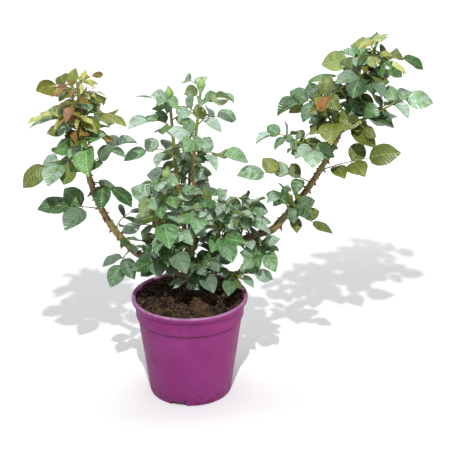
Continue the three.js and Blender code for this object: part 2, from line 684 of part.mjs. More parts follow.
// Compost fills the pot to just under its lip, lumpy on top and level round the stem's foot.
function soilSolid({ floor, wallAt, bandFoot }) {
  const clear = (radius) => radius - WALL - GAP;
  const top = clear(BAND_BOTTOM_RADIUS) - 0.4;
  const profile = [
    [0, floor + GAP],
    [clear(CHANNEL_OUTER) + 1, floor + GAP],
    [clear(wallAt(floor + 4)), floor + 4 + GAP],
    [clear(BAND_BOTTOM_RADIUS) - 1.3, bandFoot],
    [top, SOIL_LEVEL - 2],
    [top * 0.82, SOIL_LEVEL],
    [top * 0.64, SOIL_LEVEL],
    [top * 0.46, SOIL_LEVEL],
    [top * 0.26, SOIL_LEVEL],
    [0, SOIL_LEVEL],
  ];
  const geometry = turned(profile, SOIL_SIDES);
  const place = geometry.getAttribute("position");
  for (let i = 0; i < place.count; i++) {
    const [x, y, z] = [place.getX(i), place.getY(i), place.getZ(i)];
    if (z < SOIL_LEVEL - 2.5) continue;
    const away = Math.hypot(x - TRUNK.start[0], y - TRUNK.start[1]);
    const wave = Math.sin(x * 0.11 + 1) * Math.cos(y * 0.13) + 0.5 * Math.sin((x + y) * 0.21);
    const ease = THREE.MathUtils.smoothstep(away, SOIL_FLAT_RADIUS, SOIL_FLAT_RADIUS * 2);
    place.setZ(i, z + wave * ease * SOIL_RELIEF * 0.6);
  }
  const seat = new THREE.CylinderGeometry(SOIL_FLAT_RADIUS, SOIL_FLAT_RADIUS, 20, 16);
  seat.rotateX(Math.PI / 2).translate(TRUNK.start[0], TRUNK.start[1], SOIL_LEVEL + 10);
  return solidOf(geometry).subtract(solidOf(seat));
}

// Assembly
const plant = new THREE.Group();

function addPiece(name, solid, finish) {
  const material = new THREE.MeshStandardMaterial({ ...FINISHES[finish], metalness: 0 });
  const mesh = new THREE.Mesh(geometryOf(solid), material);
  mesh.name = name;
  plant.add(mesh);
}

const pot = potSolid();
addPiece("pot", pot.pot, "pot");
addPiece("soil", soilSolid(pot), "soil");

const limbs = new Map();
for (const row of LIMBS) limbs.set(row.name, growLimb(row, limbs));
const masses = MASSES.map((row) => growMass(row, limbs));

const taken = [];
for (const mass of masses) {
  occupy(taken, mass.name, mass.stem, stemRadii(mass));
  for (const points of mass.twigs) occupy(taken, mass.name, points, points.map(() => mass.radius[1]));
}
const roots = [...limbs.values(), ...masses].map((branch) => (branch.points ?? branch.stem)[0]);
for (const limb of limbs.values()) {
  const spines = prickles(limb, roots.slice(1));
  occupy(taken, limb.name, limb.points, limb.radii);
  for (const { root, out, radius, length } of spines) {
    occupy(taken, limb.name, [root, root.clone().addScaledVector(out, radius + length)], [3, 3]);
  }
  let solid = limb.parent ? tube(limb.points, limb.radii, limb.sides) : mainStemSolid(limb);
  for (const spine of spines) solid = solid.add(prickleSolid(spine));
  if (limb.parent) solid = solid.subtract(sleeve(limb.parent, GAP));
  addPiece(limb.name, tidied(solid, LIMB_DETAIL), "bark");
}

for (const mass of masses) {
  thin(mass, taken);
  addPiece(mass.name, massSolid(mass), "leaf");
}

export default plant;
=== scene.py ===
import json
import math

import bmesh
import bpy
import numpy as np
from mathutils import Matrix, Vector, noise

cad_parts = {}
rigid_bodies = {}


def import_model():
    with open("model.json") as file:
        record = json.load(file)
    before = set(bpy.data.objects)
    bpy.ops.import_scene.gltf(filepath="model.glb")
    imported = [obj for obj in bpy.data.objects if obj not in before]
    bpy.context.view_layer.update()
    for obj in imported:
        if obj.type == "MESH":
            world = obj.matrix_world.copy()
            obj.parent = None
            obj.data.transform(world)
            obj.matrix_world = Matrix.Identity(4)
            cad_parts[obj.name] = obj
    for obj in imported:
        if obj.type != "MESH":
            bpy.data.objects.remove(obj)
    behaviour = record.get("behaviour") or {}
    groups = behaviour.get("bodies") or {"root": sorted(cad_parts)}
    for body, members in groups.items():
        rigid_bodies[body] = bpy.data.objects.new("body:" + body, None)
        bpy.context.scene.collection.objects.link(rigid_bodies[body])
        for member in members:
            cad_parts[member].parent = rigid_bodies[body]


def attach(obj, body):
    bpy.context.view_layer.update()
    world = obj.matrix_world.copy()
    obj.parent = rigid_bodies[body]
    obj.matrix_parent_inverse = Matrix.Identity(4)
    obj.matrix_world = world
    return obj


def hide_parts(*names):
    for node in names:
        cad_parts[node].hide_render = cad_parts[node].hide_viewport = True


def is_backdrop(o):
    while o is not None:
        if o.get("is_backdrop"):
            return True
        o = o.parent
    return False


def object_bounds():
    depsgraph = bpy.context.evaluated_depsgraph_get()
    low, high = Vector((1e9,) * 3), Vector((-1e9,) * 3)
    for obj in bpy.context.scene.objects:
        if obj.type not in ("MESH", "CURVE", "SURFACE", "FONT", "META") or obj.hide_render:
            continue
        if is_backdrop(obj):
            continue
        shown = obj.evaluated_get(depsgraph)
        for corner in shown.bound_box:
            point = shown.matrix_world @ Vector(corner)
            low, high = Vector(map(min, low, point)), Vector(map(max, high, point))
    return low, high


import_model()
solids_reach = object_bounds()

MM = 0.001

# The view: the photograph looks at the plant from the front and 21 degrees above level, from 1.6 m
# away, so that the floor fills the picture behind it.
VIEW_AIM = Vector((59, 0, 288)) * MM
VIEW_RISE = math.radians(20.9)
VIEW_DISTANCE = 1600 * MM
VIEW_LENS = 80.4
SENSOR_WIDTH = 36

view = bpy.data.objects.new("view", bpy.data.cameras.new("view"))
bpy.context.scene.collection.objects.link(view)
view_back = Vector((0, -math.cos(VIEW_RISE), math.sin(VIEW_RISE)))
view.location = VIEW_AIM + view_back * VIEW_DISTANCE
view.rotation_euler = view_back.to_track_quat("Z", "Y").to_euler()
view.data.lens = VIEW_LENS
view.data.sensor_width = SENSOR_WIDTH
bpy.context.scene.camera = view

# The studio: a matt white floor with an even white surround. A lamp high in front of the plant throws
# its shadows back and outwards over the floor, a soft box overhead lights the leaves from above, and
# a wide spot keeps the floor behind the plant white.
FLOOR_WHITE = "#f7f7f7"
FLOOR_REACH = 9  # m
SURROUND_WHITE = "#fafcff"
SURROUND_STRENGTH = 0.47
LIGHTS = (  # name, kind, place, power in watts, settings
    ("lamp", "POINT", (0, -1640, 2260), 215, dict(shadow_soft_size=26 * MM)),
    ("soft_box", "AREA", (60, 420, 1900), 12, dict(size=900 * MM)),
    ("back_spot", "SPOT", (100, 3700, 4200), 620, dict(spot_size=math.radians(76), spot_blend=0.3)),
)


def linear(colour):
    """The linear colour of an sRGB hex value."""
    shares = [int(colour[i:i + 2], 16) / 255 for i in (1, 3, 5)]
    return (*(s / 12.92 if s <= 0.04045 else ((s + 0.055) / 1.055) ** 2.4 for s in shares), 1.0)


def set_inputs(node, inputs):
    """Sets a node's inputs by name or number, each to a value, a hex colour, a socket or a node, whose
    first output is meant."""
    for key, value in inputs.items():
        named = [socket for socket in node.inputs if socket.name == key and socket.enabled]
        socket = named[0] if named else node.inputs[key]
        if isinstance(value, bpy.types.Node):
            value = next(output for output in value.outputs if output.enabled)
        if isinstance(value, bpy.types.NodeSocket):
            node.id_data.links.new(value, socket)
        else:
            socket.default_value = linear(value) if str(value).startswith("#") else value


def add_node(tree, kind, inputs=(), **settings):
    """Adds a node with its settings and inputs."""
    made = tree.nodes.new(kind)
    for name, value in settings.items():
        setattr(made, name, value)
    set_inputs(made, dict(inputs))
    return made


def new_finish(name, fixed):
    """A material, its node tree, its shader with the fixed numbers and colours set, and the place on
    the object."""
    finish = bpy.data.materials.new(name)
    finish.use_nodes = True
    shader = finish.node_tree.nodes["Principled BSDF"]
    set_inputs(shader, fixed)
    here = add_node(finish.node_tree, "ShaderNodeTexCoord").outputs["Object"]
    return finish, finish.node_tree, shader, here


def new_mesh(name, points, faces, edges=()):
    mesh = bpy.data.meshes.new(name)
    mesh.from_pydata(points, edges, faces)
    return mesh


def new_piece(name, mesh, *finishes):
    """An object for the mesh, at the origin, with its finishes."""
    piece = bpy.data.objects.new(name, mesh)
    bpy.context.scene.collection.objects.link(piece)
    for finish in finishes:
        mesh.materials.append(finish)
    return piece


floor_paint, *_ = new_finish("floor_matt_paint", {
    "Base Color": FLOOR_WHITE, "Roughness": 0.9, "Specular IOR Level": 0.1})
floor_corners = [(x * FLOOR_REACH, y * FLOOR_REACH, 0) for x, y in ((-1, -1), (1, -1), (1, 1), (-1, 1))]
studio_floor = new_piece("studio_floor", new_mesh("studio_floor", floor_corners, [(0, 1, 2, 3)]), floor_paint)
studio_floor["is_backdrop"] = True

surround = bpy.data.worlds.new("white_surround")
bpy.context.scene.world = surround
surround.use_nodes = True
set_inputs(surround.node_tree.nodes["Background"], {"Color": SURROUND_WHITE, "Strength": SURROUND_STRENGTH})
for name, kind, place, power, settings in LIGHTS:
    light = bpy.data.objects.new(name, bpy.data.lights.new(name, kind))
    light.location = Vector(place) * MM
    light.data.energy = power
    for setting, value in settings.items():
        setattr(light.data, setting, value)
    bpy.context.scene.collection.objects.link(light)
soft_box = bpy.data.objects["soft_box"]
soft_box.rotation_euler = (soft_box.location - VIEW_AIM).to_track_quat("Z", "Y").to_euler()
bpy.context.scene.view_settings.view_transform = "Standard"

# The pot: a 19 cm nursery pot, moulded in one piece from purple polypropylene. A rolled lip stands out
# over a straight band, the wall tapers under a small step, and three notches in the foot let the
# drainage channel under the floor run dry.
POT_TURNS = 160
POT_HEIGHT = 170
POT_PROFILE = [  # radius, height and rounding of each corner, from under the floor up and back inside
    (0, 0.6, 0), (4, 0.6, 0.4), (5, 0, 0.4), (45, 0, 0.8), (46.6, 6, 0.8), (58.4, 6, 0.8),
    (60, 0, 0.5), (67.5, 0, 6), (85.3, 134.6, 1.2), (88, 136.2, 1.2), (89.4, 161, 0.8),
    (94.2, 161.8, 1), (95, 166, 2), (94, 169.6, 1.2), (91.6, POT_HEIGHT, 1), (88.2, 167.6, 1.6),
    (84.6, 137, 3), (67, 12, 2), (60, 8, 3), (0, 8, 0),
]
ROUNDING_STEPS = 4
ROUNDING_MOST = 0.45  # share of a side that its rounding may take
POT_WAVE = 0.35  # how far the wall is out of round
POT_WAVES = ((2, 0.6, 1), (5, 0, 0.5))  # how many go round, their phase, their share of that
POT_WAVE_MOST = 0.5
POT_DRAWN_IN = 0.4  # at the lip, so that its waves stay within the solid's size
POT_FLAT = 40  # radius of the part of the floor that the waves leave alone
POT_DENT = (-38, 9, 0.9)  # heading, half width in degrees, depth: a pinch in the lip
POT_DENT_RISE = (150, 12)  # height where the pinch begins, and over which it deepens
NOTCH_HEADINGS = (-105, 15, 135)
NOTCH_RING = 63.5
NOTCH_SIZE = (14, 25, 14)
HOLE_HEADINGS = [-75 + 60 * i for i in range(6)]
HOLE_RING = 52.5
HOLE_RADIUS = 5
HOLE_CUT = (7, 8)  # height of its middle, depth
HOLE_SIDES = 20
POT_PURPLE = "#7d2966"
POT_PURPLE_LIGHT = "#883474"
POT_LIT_SIDE = "#97367a"  # painted light: the colour of the lighter right side
POT_LIT_SPAN = (15, 80)  # to the right of the middle, where it begins and where it is full
POT_DUST = "#c9b3c4"
DUST_SPECKS = 4.2  # apart
LIP_SHEEN_AND_SCUFF = "#b892b2"  # painted highlight round the lip, broken by scuff wear
LIP_SHEEN_SPAN = (166, 169)  # height where that begins and where it is full
SPLASH_BROWN = "#38202e"
FOOT_SPLASH = (26, 1.5)  # height up to which wet compost has stained the foot, and how much of it
STEP_SHADE = (133, 4, 0.62)  # height of the painted shade under the step, its half width, how dark it is
MOULD_GRAIN = 0.9  # about twice as coarse as it is, so that it shows


def rounded(corners):
    """A profile whose corners are rounded by straight-sided steps, from (radius, height, rounding)."""
    made = []
    for i, (radius, height, rounding) in enumerate(corners):
        corner = np.array([radius, height], float)
        if rounding == 0 or i in (0, len(corners) - 1):
            made.append(corner)
            continue
        ways = [np.array(corners[k][:2], float) - corner for k in (i - 1, i + 1)]
        reach = min(rounding, *(ROUNDING_MOST * np.linalg.norm(way) for way in ways))
        start, end = (corner + way / np.linalg.norm(way) * reach for way in ways)
        for k in range(ROUNDING_STEPS + 1):
            t = k / ROUNDING_STEPS
            made.append((1 - t) ** 2 * start + 2 * t * (1 - t) * corner + t * t * end)
    return np.array(made)


def turned_mesh(name, profile, turns, shape):
    """A closed body turned about +Z from (radius, height) points in mm that start and end on the axis.
    The function shape then moves its points."""
    rings = profile[1:-1]
    angles = np.arange(turns) * 2 * math.pi / turns
    round_about = np.stack([np.cos(angles), np.sin(angles)], 1)
    points = [(0, 0, profile[0][1])]
    for radius, height in rings:
        points.extend((radius * c, radius * s, height) for c, s in round_about)
    points.append((0, 0, profile[-1][1]))

    def at(ring, k):
        return 1 + ring * turns + k % turns

    last = len(rings) - 1
    faces = [(0, at(0, k + 1), at(0, k)) for k in range(turns)]
    for ring in range(last):
        faces.extend((at(ring, k), at(ring, k + 1), at(ring + 1, k + 1), at(ring + 1, k))
                     for k in range(turns))
    faces.extend((len(points) - 1, at(last, k), at(last, k + 1)) for k in range(turns))
    return new_mesh(name, shape(np.array(points)) * MM, faces)


def out_of_round(points):
    """The slight waves of a thin moulded wall, and a pinch in the lip."""
    heading = np.arctan2(points[:, 1], points[:, 0])
    high = np.clip(points[:, 2] / POT_HEIGHT, 0, 1)
    wave = POT_WAVE * high * sum(share * np.sin(count * heading + phase) for count, phase, share in POT_WAVES)
    away = (np.degrees(heading) - POT_DENT[0]) / POT_DENT[1]
    pinch_foot, pinch_rise = POT_DENT_RISE
    wave -= POT_DENT[2] * np.exp(-away ** 2) * np.clip((points[:, 2] - pinch_foot) / pinch_rise, 0, 1)
    radius = np.maximum(np.hypot(points[:, 0], points[:, 1]), 1e-6)
    moved = np.where(radius > POT_FLAT, np.minimum(wave, POT_WAVE_MOST) - POT_DRAWN_IN * high, 0)
    reach = 1 + moved / radius
    return points * np.stack([reach, reach, np.ones_like(reach)], 1)


def out_at(heading, reach, height):
    """A place out from the middle of the pot, turned to its heading."""
    return Matrix.Rotation(math.radians(heading), 4, "Z") @ Matrix.Translation((reach * MM, 0, height * MM))


def mesh_of(name, body):
    """A mesh from a bmesh, which it frees."""
    mesh = bpy.data.meshes.new(name)
    body.to_mesh(mesh)
    body.free()
    return mesh


def plain_mesh(piece):
    """Makes what the piece's modifiers give its own mesh, and takes the modifiers off."""
    graph = bpy.context.evaluated_depsgraph_get()
    made = bpy.data.meshes.new_from_object(
        piece.evaluated_get(graph), preserve_all_data_layers=True, depsgraph=graph)
    piece.modifiers.clear()
    before, made.name = piece.data, piece.name
    piece.data = made
    bpy.data.meshes.remove(before)


def smooth(mesh, sharp):
    """Shades a mesh smooth, but for edges that turn by more than so many degrees."""
    mesh.shade_smooth()
    mesh.set_sharp_from_angle(angle=math.radians(sharp))


def blotches(tree, where, across, levels, to=(0, 1), detail=2, roughness=0.5):
    """Cloudy blotches so many mm across: a noise, spread from between two levels to other values."""
    cloud = add_node(tree, "ShaderNodeTexNoise", {
        "Vector": where, "Scale": 1 / (across * MM), "Detail": detail, "Roughness": roughness})
    return add_node(tree, "ShaderNodeMapRange", {
        "Value": cloud, "From Min": levels[0], "From Max": levels[1], "To Min": to[0], "To Max": to[1]})


def mottled(tree, where, across, levels, colours, **how):
    """Two colours in cloudy blotches so many mm across."""
    share = blotches(tree, where, across, levels, **how)
    return add_node(tree, "ShaderNodeMix", {
        "Factor": share, "A": colours[0], "B": colours[1]}, data_type="RGBA")


def laid_over(tree, under, colour, place, pattern):
    """A colour laid over what is under it, by the product of a place and a pattern."""
    share = add_node(tree, "ShaderNodeMath", {0: place, 1: pattern}, operation="MULTIPLY")
    return add_node(tree, "ShaderNodeMix", {"Factor": share, "A": under, "B": colour}, data_type="RGBA")


def grain(tree, where, across, detail, strength, depth):
    """The relief of a grain so many mm across and deep."""
    bumps = add_node(tree, "ShaderNodeTexNoise", {
        "Vector": where, "Scale": 1 / (across * MM), "Detail": detail})
    return add_node(tree, "ShaderNodeBump", {"Height": bumps, "Strength": strength, "Distance": depth * MM})


pot = new_piece("nursery_pot", turned_mesh("nursery_pot", rounded(POT_PROFILE), POT_TURNS, out_of_round))
cutters = bmesh.new()
for heading in NOTCH_HEADINGS:
    block = Matrix.Diagonal((*[side * MM for side in NOTCH_SIZE], 1))
    bmesh.ops.create_cube(cutters, size=1, matrix=out_at(heading, NOTCH_RING, 0) @ block)
for heading in HOLE_HEADINGS:
    bmesh.ops.create_cone(
        cutters, cap_ends=True, segments=HOLE_SIDES, radius1=HOLE_RADIUS * MM, radius2=HOLE_RADIUS * MM,
        depth=HOLE_CUT[1] * MM, matrix=out_at(heading, HOLE_RING, HOLE_CUT[0]))
drain_cutters = new_piece("drain_cutters", mesh_of("drain_cutters", cutters))
cut = pot.modifiers.new("cut", "BOOLEAN")
cut.object = drain_cutters
cut.solver = "EXACT"
plain_mesh(pot)
bpy.data.objects.remove(drain_cutters)
smooth(pot.data, 38)

# Moulded polypropylene: even colour through and through, a satin skin with the fine grain of the
# mould. Painted light makes its right side lighter, and a painted highlight, broken by scuff wear,
# runs pale round the lip. Dried compost clings to it in specks, painted shade darkens a band under
# the step, and wet compost has stained the foot.
moulded_plastic, tree, shader, here = new_finish("moulded_polypropylene", {
    "IOR": 1.49, "Specular IOR Level": 0.12})
place = add_node(tree, "ShaderNodeSeparateXYZ", {0: here}).outputs
purple = mottled(tree, here, 60, (0.35, 0.7), (POT_PURPLE, POT_PURPLE_LIGHT), detail=3)
# Painted light: the colour turns lighter towards the right side of the pot.
lit_share = add_node(tree, "ShaderNodeMapRange", {
    "Value": place["X"], "From Min": POT_LIT_SPAN[0] * MM, "From Max": POT_LIT_SPAN[1] * MM})
side_lit = add_node(tree, "ShaderNodeMix", {"Factor": lit_share, "A": purple, "B": POT_LIT_SIDE}, data_type="RGBA")
specks = add_node(tree, "ShaderNodeTexVoronoi", {"Vector": here, "Scale": 1 / (DUST_SPECKS * MM)})
speck = add_node(tree, "ShaderNodeMapRange", {
    "Value": specks, "From Min": 0.05, "From Max": 0.09, "To Min": 1, "To Max": 0})
dusty = laid_over(tree, side_lit, POT_DUST, speck, blotches(tree, here, 38, (0.46, 0.6)))
# Painted highlight: a pale band round the top of the lip, broken into patches of scuff wear.
at_lip = add_node(tree, "ShaderNodeMapRange", {
    "Value": place["Z"], "From Min": LIP_SHEEN_SPAN[0] * MM, "From Max": LIP_SHEEN_SPAN[1] * MM, "To Max": 0.8})
sheen_and_wear = blotches(tree, here, 9, (0.3, 0.6), (0.35, 1), detail=5)
lipped = laid_over(tree, dusty, LIP_SHEEN_AND_SCUFF, at_lip, sheen_and_wear)
at_foot = add_node(tree, "ShaderNodeMapRange", {
    "Value": place["Z"], "From Max": FOOT_SPLASH[0] * MM, "To Min": FOOT_SPLASH[1], "To Max": 0})
splashes = blotches(tree, here, 7, (0.5, 0.66), detail=6, roughness=0.7)
stained = laid_over(tree, lipped, SPLASH_BROWN, at_foot, splashes)
# Painted shade: the colour is darkened in a band under the step, by height.
over_step = add_node(tree, "ShaderNodeMath", {0: place["Z"], 1: STEP_SHADE[0] * MM}, operation="SUBTRACT")
off_step = add_node(tree, "ShaderNodeMath", {0: over_step}, operation="ABSOLUTE")
step_shade = add_node(tree, "ShaderNodeMapRange", {
    "Value": off_step, "From Max": STEP_SHADE[1] * MM, "To Min": STEP_SHADE[2]})
shaded_step = add_node(tree, "ShaderNodeVectorMath", {0: stained, "Scale": step_shade}, operation="SCALE")
set_inputs(shader, {
    "Base Color": shaded_step, "Roughness": blotches(tree, here, 14, (0.3, 0.7), (0.42, 0.58), detail=6),
    "Normal": grain(tree, here, MOULD_GRAIN, 2, 0.25, 0.12)})
pot.data.materials.clear()
pot.data.materials.append(moulded_plastic)
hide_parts("pot")
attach(pot, "root")

# The compost: dark peat filled to some 8 mm under the lip, pressed level round the stem and lumpy
# elsewhere, with loose crumbs, bark bits and pale peat fibres lying all over it.
SOIL_LEVEL = 156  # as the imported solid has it
SOIL_RISE = (5.5, 3.5)  # loose compost above that level, and its slope up to the back of the pot
SOIL_RADIUS = 85.2
SOIL_SIDE = [(0, 8.4), (57, 8.4), (64.5, 13), (SOIL_RADIUS - 1.4, 137), (SOIL_RADIUS, SOIL_LEVEL - 2)]
SOIL_TURNS = 150
SOIL_RINGS = 44
SOIL_LUMPS = ((30, 5), (14, 6.5), (6.5, 3.6), (2.8, 1.4))  # across and high
LUMPS_APART = 40  # between the layers of noise that the sizes of lumps are taken from
STEM_FOOT = (7, 24)
STEM_PRESSED = (14, 24, 0.25)  # radius of the level round the stem, how far it eases out, lumps left on it
WALL_PRESSED = (6, 12)  # and along the wall: how far past it the level lies, how far it eases out
SOIL_HEAP = (-20, 4, 30, 3.5)  # x, y, breadth and height of the ball round the roots
CLUMP = (20, -32, 15, 2.5)  # x, y, breadth and height of a clump of brown fibres
CLUMP_TOP = SOIL_LEVEL + 8
CLUMP_FRAY = (6, 50)  # across and deep, of its ragged edge
CLUMP_FADE = (-16, -6)  # over which its colour fades
CLUMP_SHARE = 0.85  # of its own colour that shows
CLUMP_BROWN = "#664a38"
PEAT_DARK = "#1b1410"
PEAT_BROWN = "#54402f"
STREWN_LEAST_LEVEL = 0.35  # upward share of the direction of a face that carries crumbs
STREWN_LOWEST = SOIL_LEVEL - 12
CRUMB_ROUGH = (0.75, 0.5, 3)  # least girth, how much more by chance, how fine its bumps
CRUMBS_APART = 7.1  # in the noise that gives each its bumps
FIBRE_PIECES = 6
FIBRE_SIDES = 3
FIBRE_GIRTH = 0.022
FIBRE_WANDER = (0.35, 0.16)  # from piece to piece, aside and up
FIBRE_TAPER = 0.6


def off(x, y, spot):
    return math.hypot(x - spot[0], y - spot[1])


def lumpy(points):
    """Raises the compost's top into lumps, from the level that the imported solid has."""
    for i in np.flatnonzero(points[:, 2] > SOIL_LEVEL - 1):
        x, y, _ = points[i]
        level, easing, left = STEM_PRESSED
        past, wall_easing = WALL_PRESSED
        ease = min(max((off(x, y, STEM_FOOT) - level) / easing, left), 1)
        ease *= min(1, (SOIL_RADIUS + past - math.hypot(x, y)) / wall_easing)
        points[i, 2] += SOIL_RISE[0] + SOIL_RISE[1] * y / SOIL_RADIUS
        for layer, (across, high) in enumerate(SOIL_LUMPS):
            points[i, 2] += ease * high * noise.noise(Vector((x, y, LUMPS_APART * layer)) / across)
        points[i, 2] += SOIL_HEAP[3] * math.exp(-(off(x, y, SOIL_HEAP) / SOIL_HEAP[2]) ** 2)
        points[i, 2] += CLUMP[3] * math.exp(-(off(x, y, CLUMP) / CLUMP[2]) ** 4)
    return points


def with_clump(tree, where, colour):
    """The colour of the compost, turned brown where the clump of fibres lies."""
    clump = (CLUMP[0] * MM, CLUMP[1] * MM, CLUMP_TOP * MM)
    away = add_node(tree, "ShaderNodeVectorMath", {0: where, 1: clump}, operation="DISTANCE")
    ragged = add_node(tree, "ShaderNodeTexNoise", {
        "Vector": where, "Scale": 1 / (CLUMP_FRAY[0] * MM), "Detail": 7, "Roughness": 0.75})
    reach = add_node(tree, "ShaderNodeMath", {
        0: ragged, 1: -CLUMP_FRAY[1] * MM, 2: away}, operation="MULTIPLY_ADD")
    share = add_node(tree, "ShaderNodeMapRange", {
        "Value": reach, "From Min": CLUMP_FADE[0] * MM, "From Max": CLUMP_FADE[1] * MM,
        "To Min": CLUMP_SHARE, "To Max": 0})
    return add_node(tree, "ShaderNodeMix", {"Factor": share, "A": colour, "B": CLUMP_BROWN}, data_type="RGBA")


soil_profile = SOIL_SIDE + [(SOIL_RADIUS * share, SOIL_LEVEL) for share in np.linspace(1, 0, SOIL_RINGS)]
compost = new_piece("compost", turned_mesh("compost", np.array(soil_profile), SOIL_TURNS, lumpy))
compost.data.shade_smooth()

# Peat: matt, almost black where damp and brown where the crumbs have dried.
peat, tree, shader, here = new_finish("damp_peat", {"Roughness": 0.95, "Specular IOR Level": 0.2})
dried = mottled(tree, here, 14, (0.46, 0.64), (PEAT_DARK, PEAT_BROWN), detail=9, roughness=0.75)
set_inputs(shader, {
    "Base Color": with_clump(tree, here, dried), "Normal": grain(tree, here, 1.6, 5, 0.9, 1.2)})
compost.data.materials.append(peat)


def new_maker(name, inputs):
    """A geometry node tree with the named inputs. Gives the tree, its inputs and its output node."""
    tree = bpy.data.node_groups.new(name, "GeometryNodeTree")
    for label, kind in {"Geometry": "Geometry", **inputs}.items():
        tree.interface.new_socket(label, in_out="INPUT", socket_type="NodeSocket" + kind)
    tree.interface.new_socket("Geometry", in_out="OUTPUT", socket_type="NodeSocketGeometry")
    return tree, tree.nodes.new("NodeGroupInput").outputs, tree.nodes.new("NodeGroupOutput")


def with_finish(tree, geometry, finish):
    """The end of a maker: its instances made real, because the export drops them, and their finish."""
    real = add_node(tree, "GeometryNodeRealizeInstances", {"Geometry": geometry})
    return add_node(tree, "GeometryNodeSetMaterial", {"Geometry": real, "Material": finish})


def make(name, mesh, maker, inputs, shapes=()):
    """A piece that a maker builds from a mesh, with its inputs by name and loose shapes to lay out."""
    piece = new_piece(name, mesh)
    box = bpy.data.collections.new("shapes")
    bpy.context.scene.collection.children.link(box)
    for i, mesh in enumerate(shapes):
        box.objects.link(bpy.data.objects.new(f"shape_{i}", mesh))
    given = {"Shapes": box, **inputs}
    run = piece.modifiers.new("make", "NODES")
    run.node_group = maker
    for item in maker.interface.items_tree:
        if item.in_out == "INPUT" and item.name in given:
            run[item.identifier] = given[item.name]
    plain_mesh(piece)
    for loose in list(box.objects):
        bpy.data.objects.remove(loose)
    bpy.data.collections.remove(box)
    return piece


# Strews shapes over the faces that look up: so many of them, between two sizes, from a fixed seed.
strew, given, out = new_maker("strew_over_top", {
    "Shapes": "Collection", "Density": "Float", "Smallest": "Float", "Largest": "Float", "Tilt": "Float",
    "Rise": "Float", "Seed": "Int", "Finish": "Material"})
facing = add_node(strew, "ShaderNodeSeparateXYZ", {0: add_node(strew, "GeometryNodeInputNormal")}).outputs
place = add_node(strew, "ShaderNodeSeparateXYZ", {0: add_node(strew, "GeometryNodeInputPosition")}).outputs
level, topmost = (
    add_node(strew, "FunctionNodeCompare", {0: value, 1: least}, operation="GREATER_THAN")
    for value, least in ((facing["Z"], STREWN_LEAST_LEVEL), (place["Z"], STREWN_LOWEST * MM)))
spots = add_node(strew, "GeometryNodeDistributePointsOnFaces", {
    "Mesh": given["Geometry"], "Density": given["Density"], "Seed": given["Seed"],
    "Selection": add_node(strew, "FunctionNodeBooleanMath", {0: level, 1: topmost}, operation="AND")})
raised = add_node(strew, "GeometryNodeSetPosition", {
    "Geometry": spots, "Offset": add_node(strew, "ShaderNodeCombineXYZ", {"Z": given["Rise"]})})
size = add_node(strew, "FunctionNodeRandomValue", {
    "Min": given["Smallest"], "Max": given["Largest"], "Seed": given["Seed"]})
lean = add_node(strew, "ShaderNodeMath", {0: given["Tilt"], 1: -1}, operation="MULTIPLY")
way = add_node(strew, "FunctionNodeRandomValue", {
    "Min": add_node(strew, "ShaderNodeCombineXYZ", {"X": lean, "Y": lean, "Z": -math.pi}),
    "Max": add_node(strew, "ShaderNodeCombineXYZ", {"X": given["Tilt"], "Y": given["Tilt"], "Z": math.pi}),
    "Seed": given["Seed"]}, data_type="FLOAT_VECTOR")
shapes = add_node(strew, "GeometryNodeCollectionInfo", {
    "Collection": given["Shapes"], "Separate Children": True, "Reset Children": True})
laid = add_node(strew, "GeometryNodeInstanceOnPoints", {
    "Points": raised, "Instance": shapes, "Pick Instance": True, "Rotation": way, "Scale": size})
set_inputs(out, {0: with_finish(strew, laid, given["Finish"])})


def around(count):
    """Angles evenly round a full turn."""
    return [k * 2 * math.pi / count for k in range(count)]


def crumb_shape(number, breadth=1, depth=1):
    """A broken lump about 1 across."""
    least, more, fineness = CRUMB_ROUGH
    lump = bmesh.new()
    bmesh.ops.create_icosphere(lump, subdivisions=1, radius=0.5)
    for corner in lump.verts:
        rough = least + more * noise.noise(corner.co * fineness + Vector((number * CRUMBS_APART, 0, 0)))
        corner.co = Vector((corner.co.x * rough, corner.co.y * rough * breadth, corner.co.z * rough * depth))
    return mesh_of(f"crumb_{number}", lump)


def fibre_shape(number):
    """A bent strand 1 long, thin and three-sided."""
    wander = np.random.default_rng(number)
    bends, rises = (np.cumsum(wander.normal(0, most, FIBRE_PIECES)) for most in FIBRE_WANDER)
    spine = [np.array([-0.5, 0, 0])]
    for bend, rise in zip(bends, rises):
        spine.append(spine[-1] + np.array([math.cos(bend), math.sin(bend), rise]) / FIBRE_PIECES)
    points, faces = [], []
    for i, place in enumerate(spine):
        girth = FIBRE_GIRTH * (1 - FIBRE_TAPER * abs(2 * i / FIBRE_PIECES - 1))
        points.extend(place + np.array([0, math.cos(turn), math.sin(turn)]) * girth
                      for turn in around(FIBRE_SIDES))
    for i in range(FIBRE_PIECES):
        for k in range(FIBRE_SIDES):
            a, b = i * FIBRE_SIDES + k, i * FIBRE_SIDES + (k + 1) % FIBRE_SIDES
            faces.append((a, a + FIBRE_SIDES, b + FIBRE_SIDES, b))
    last = len(points) - FIBRE_SIDES
    faces += [tuple(range(FIBRE_SIDES)), tuple(range(len(points) - 1, last - 1, -1))]
    return new_mesh(f"fibre_{number}", points, faces)


def strewn_finish(name, across, colours):
    """Dry plant matter: matt, its colour changing from one bit to the next."""
    finish, tree, shader, here = new_finish(name, {"Roughness": 0.9, "Specular IOR Level": 0.25})
    changing = mottled(tree, here, across, (0.42, 0.62), colours, detail=6, roughness=0.8)
    set_inputs(shader, {
        "Base Color": with_clump(tree, here, changing), "Normal": grain(tree, here, 0.8, 3, 0.6, 0.4)})
    return finish


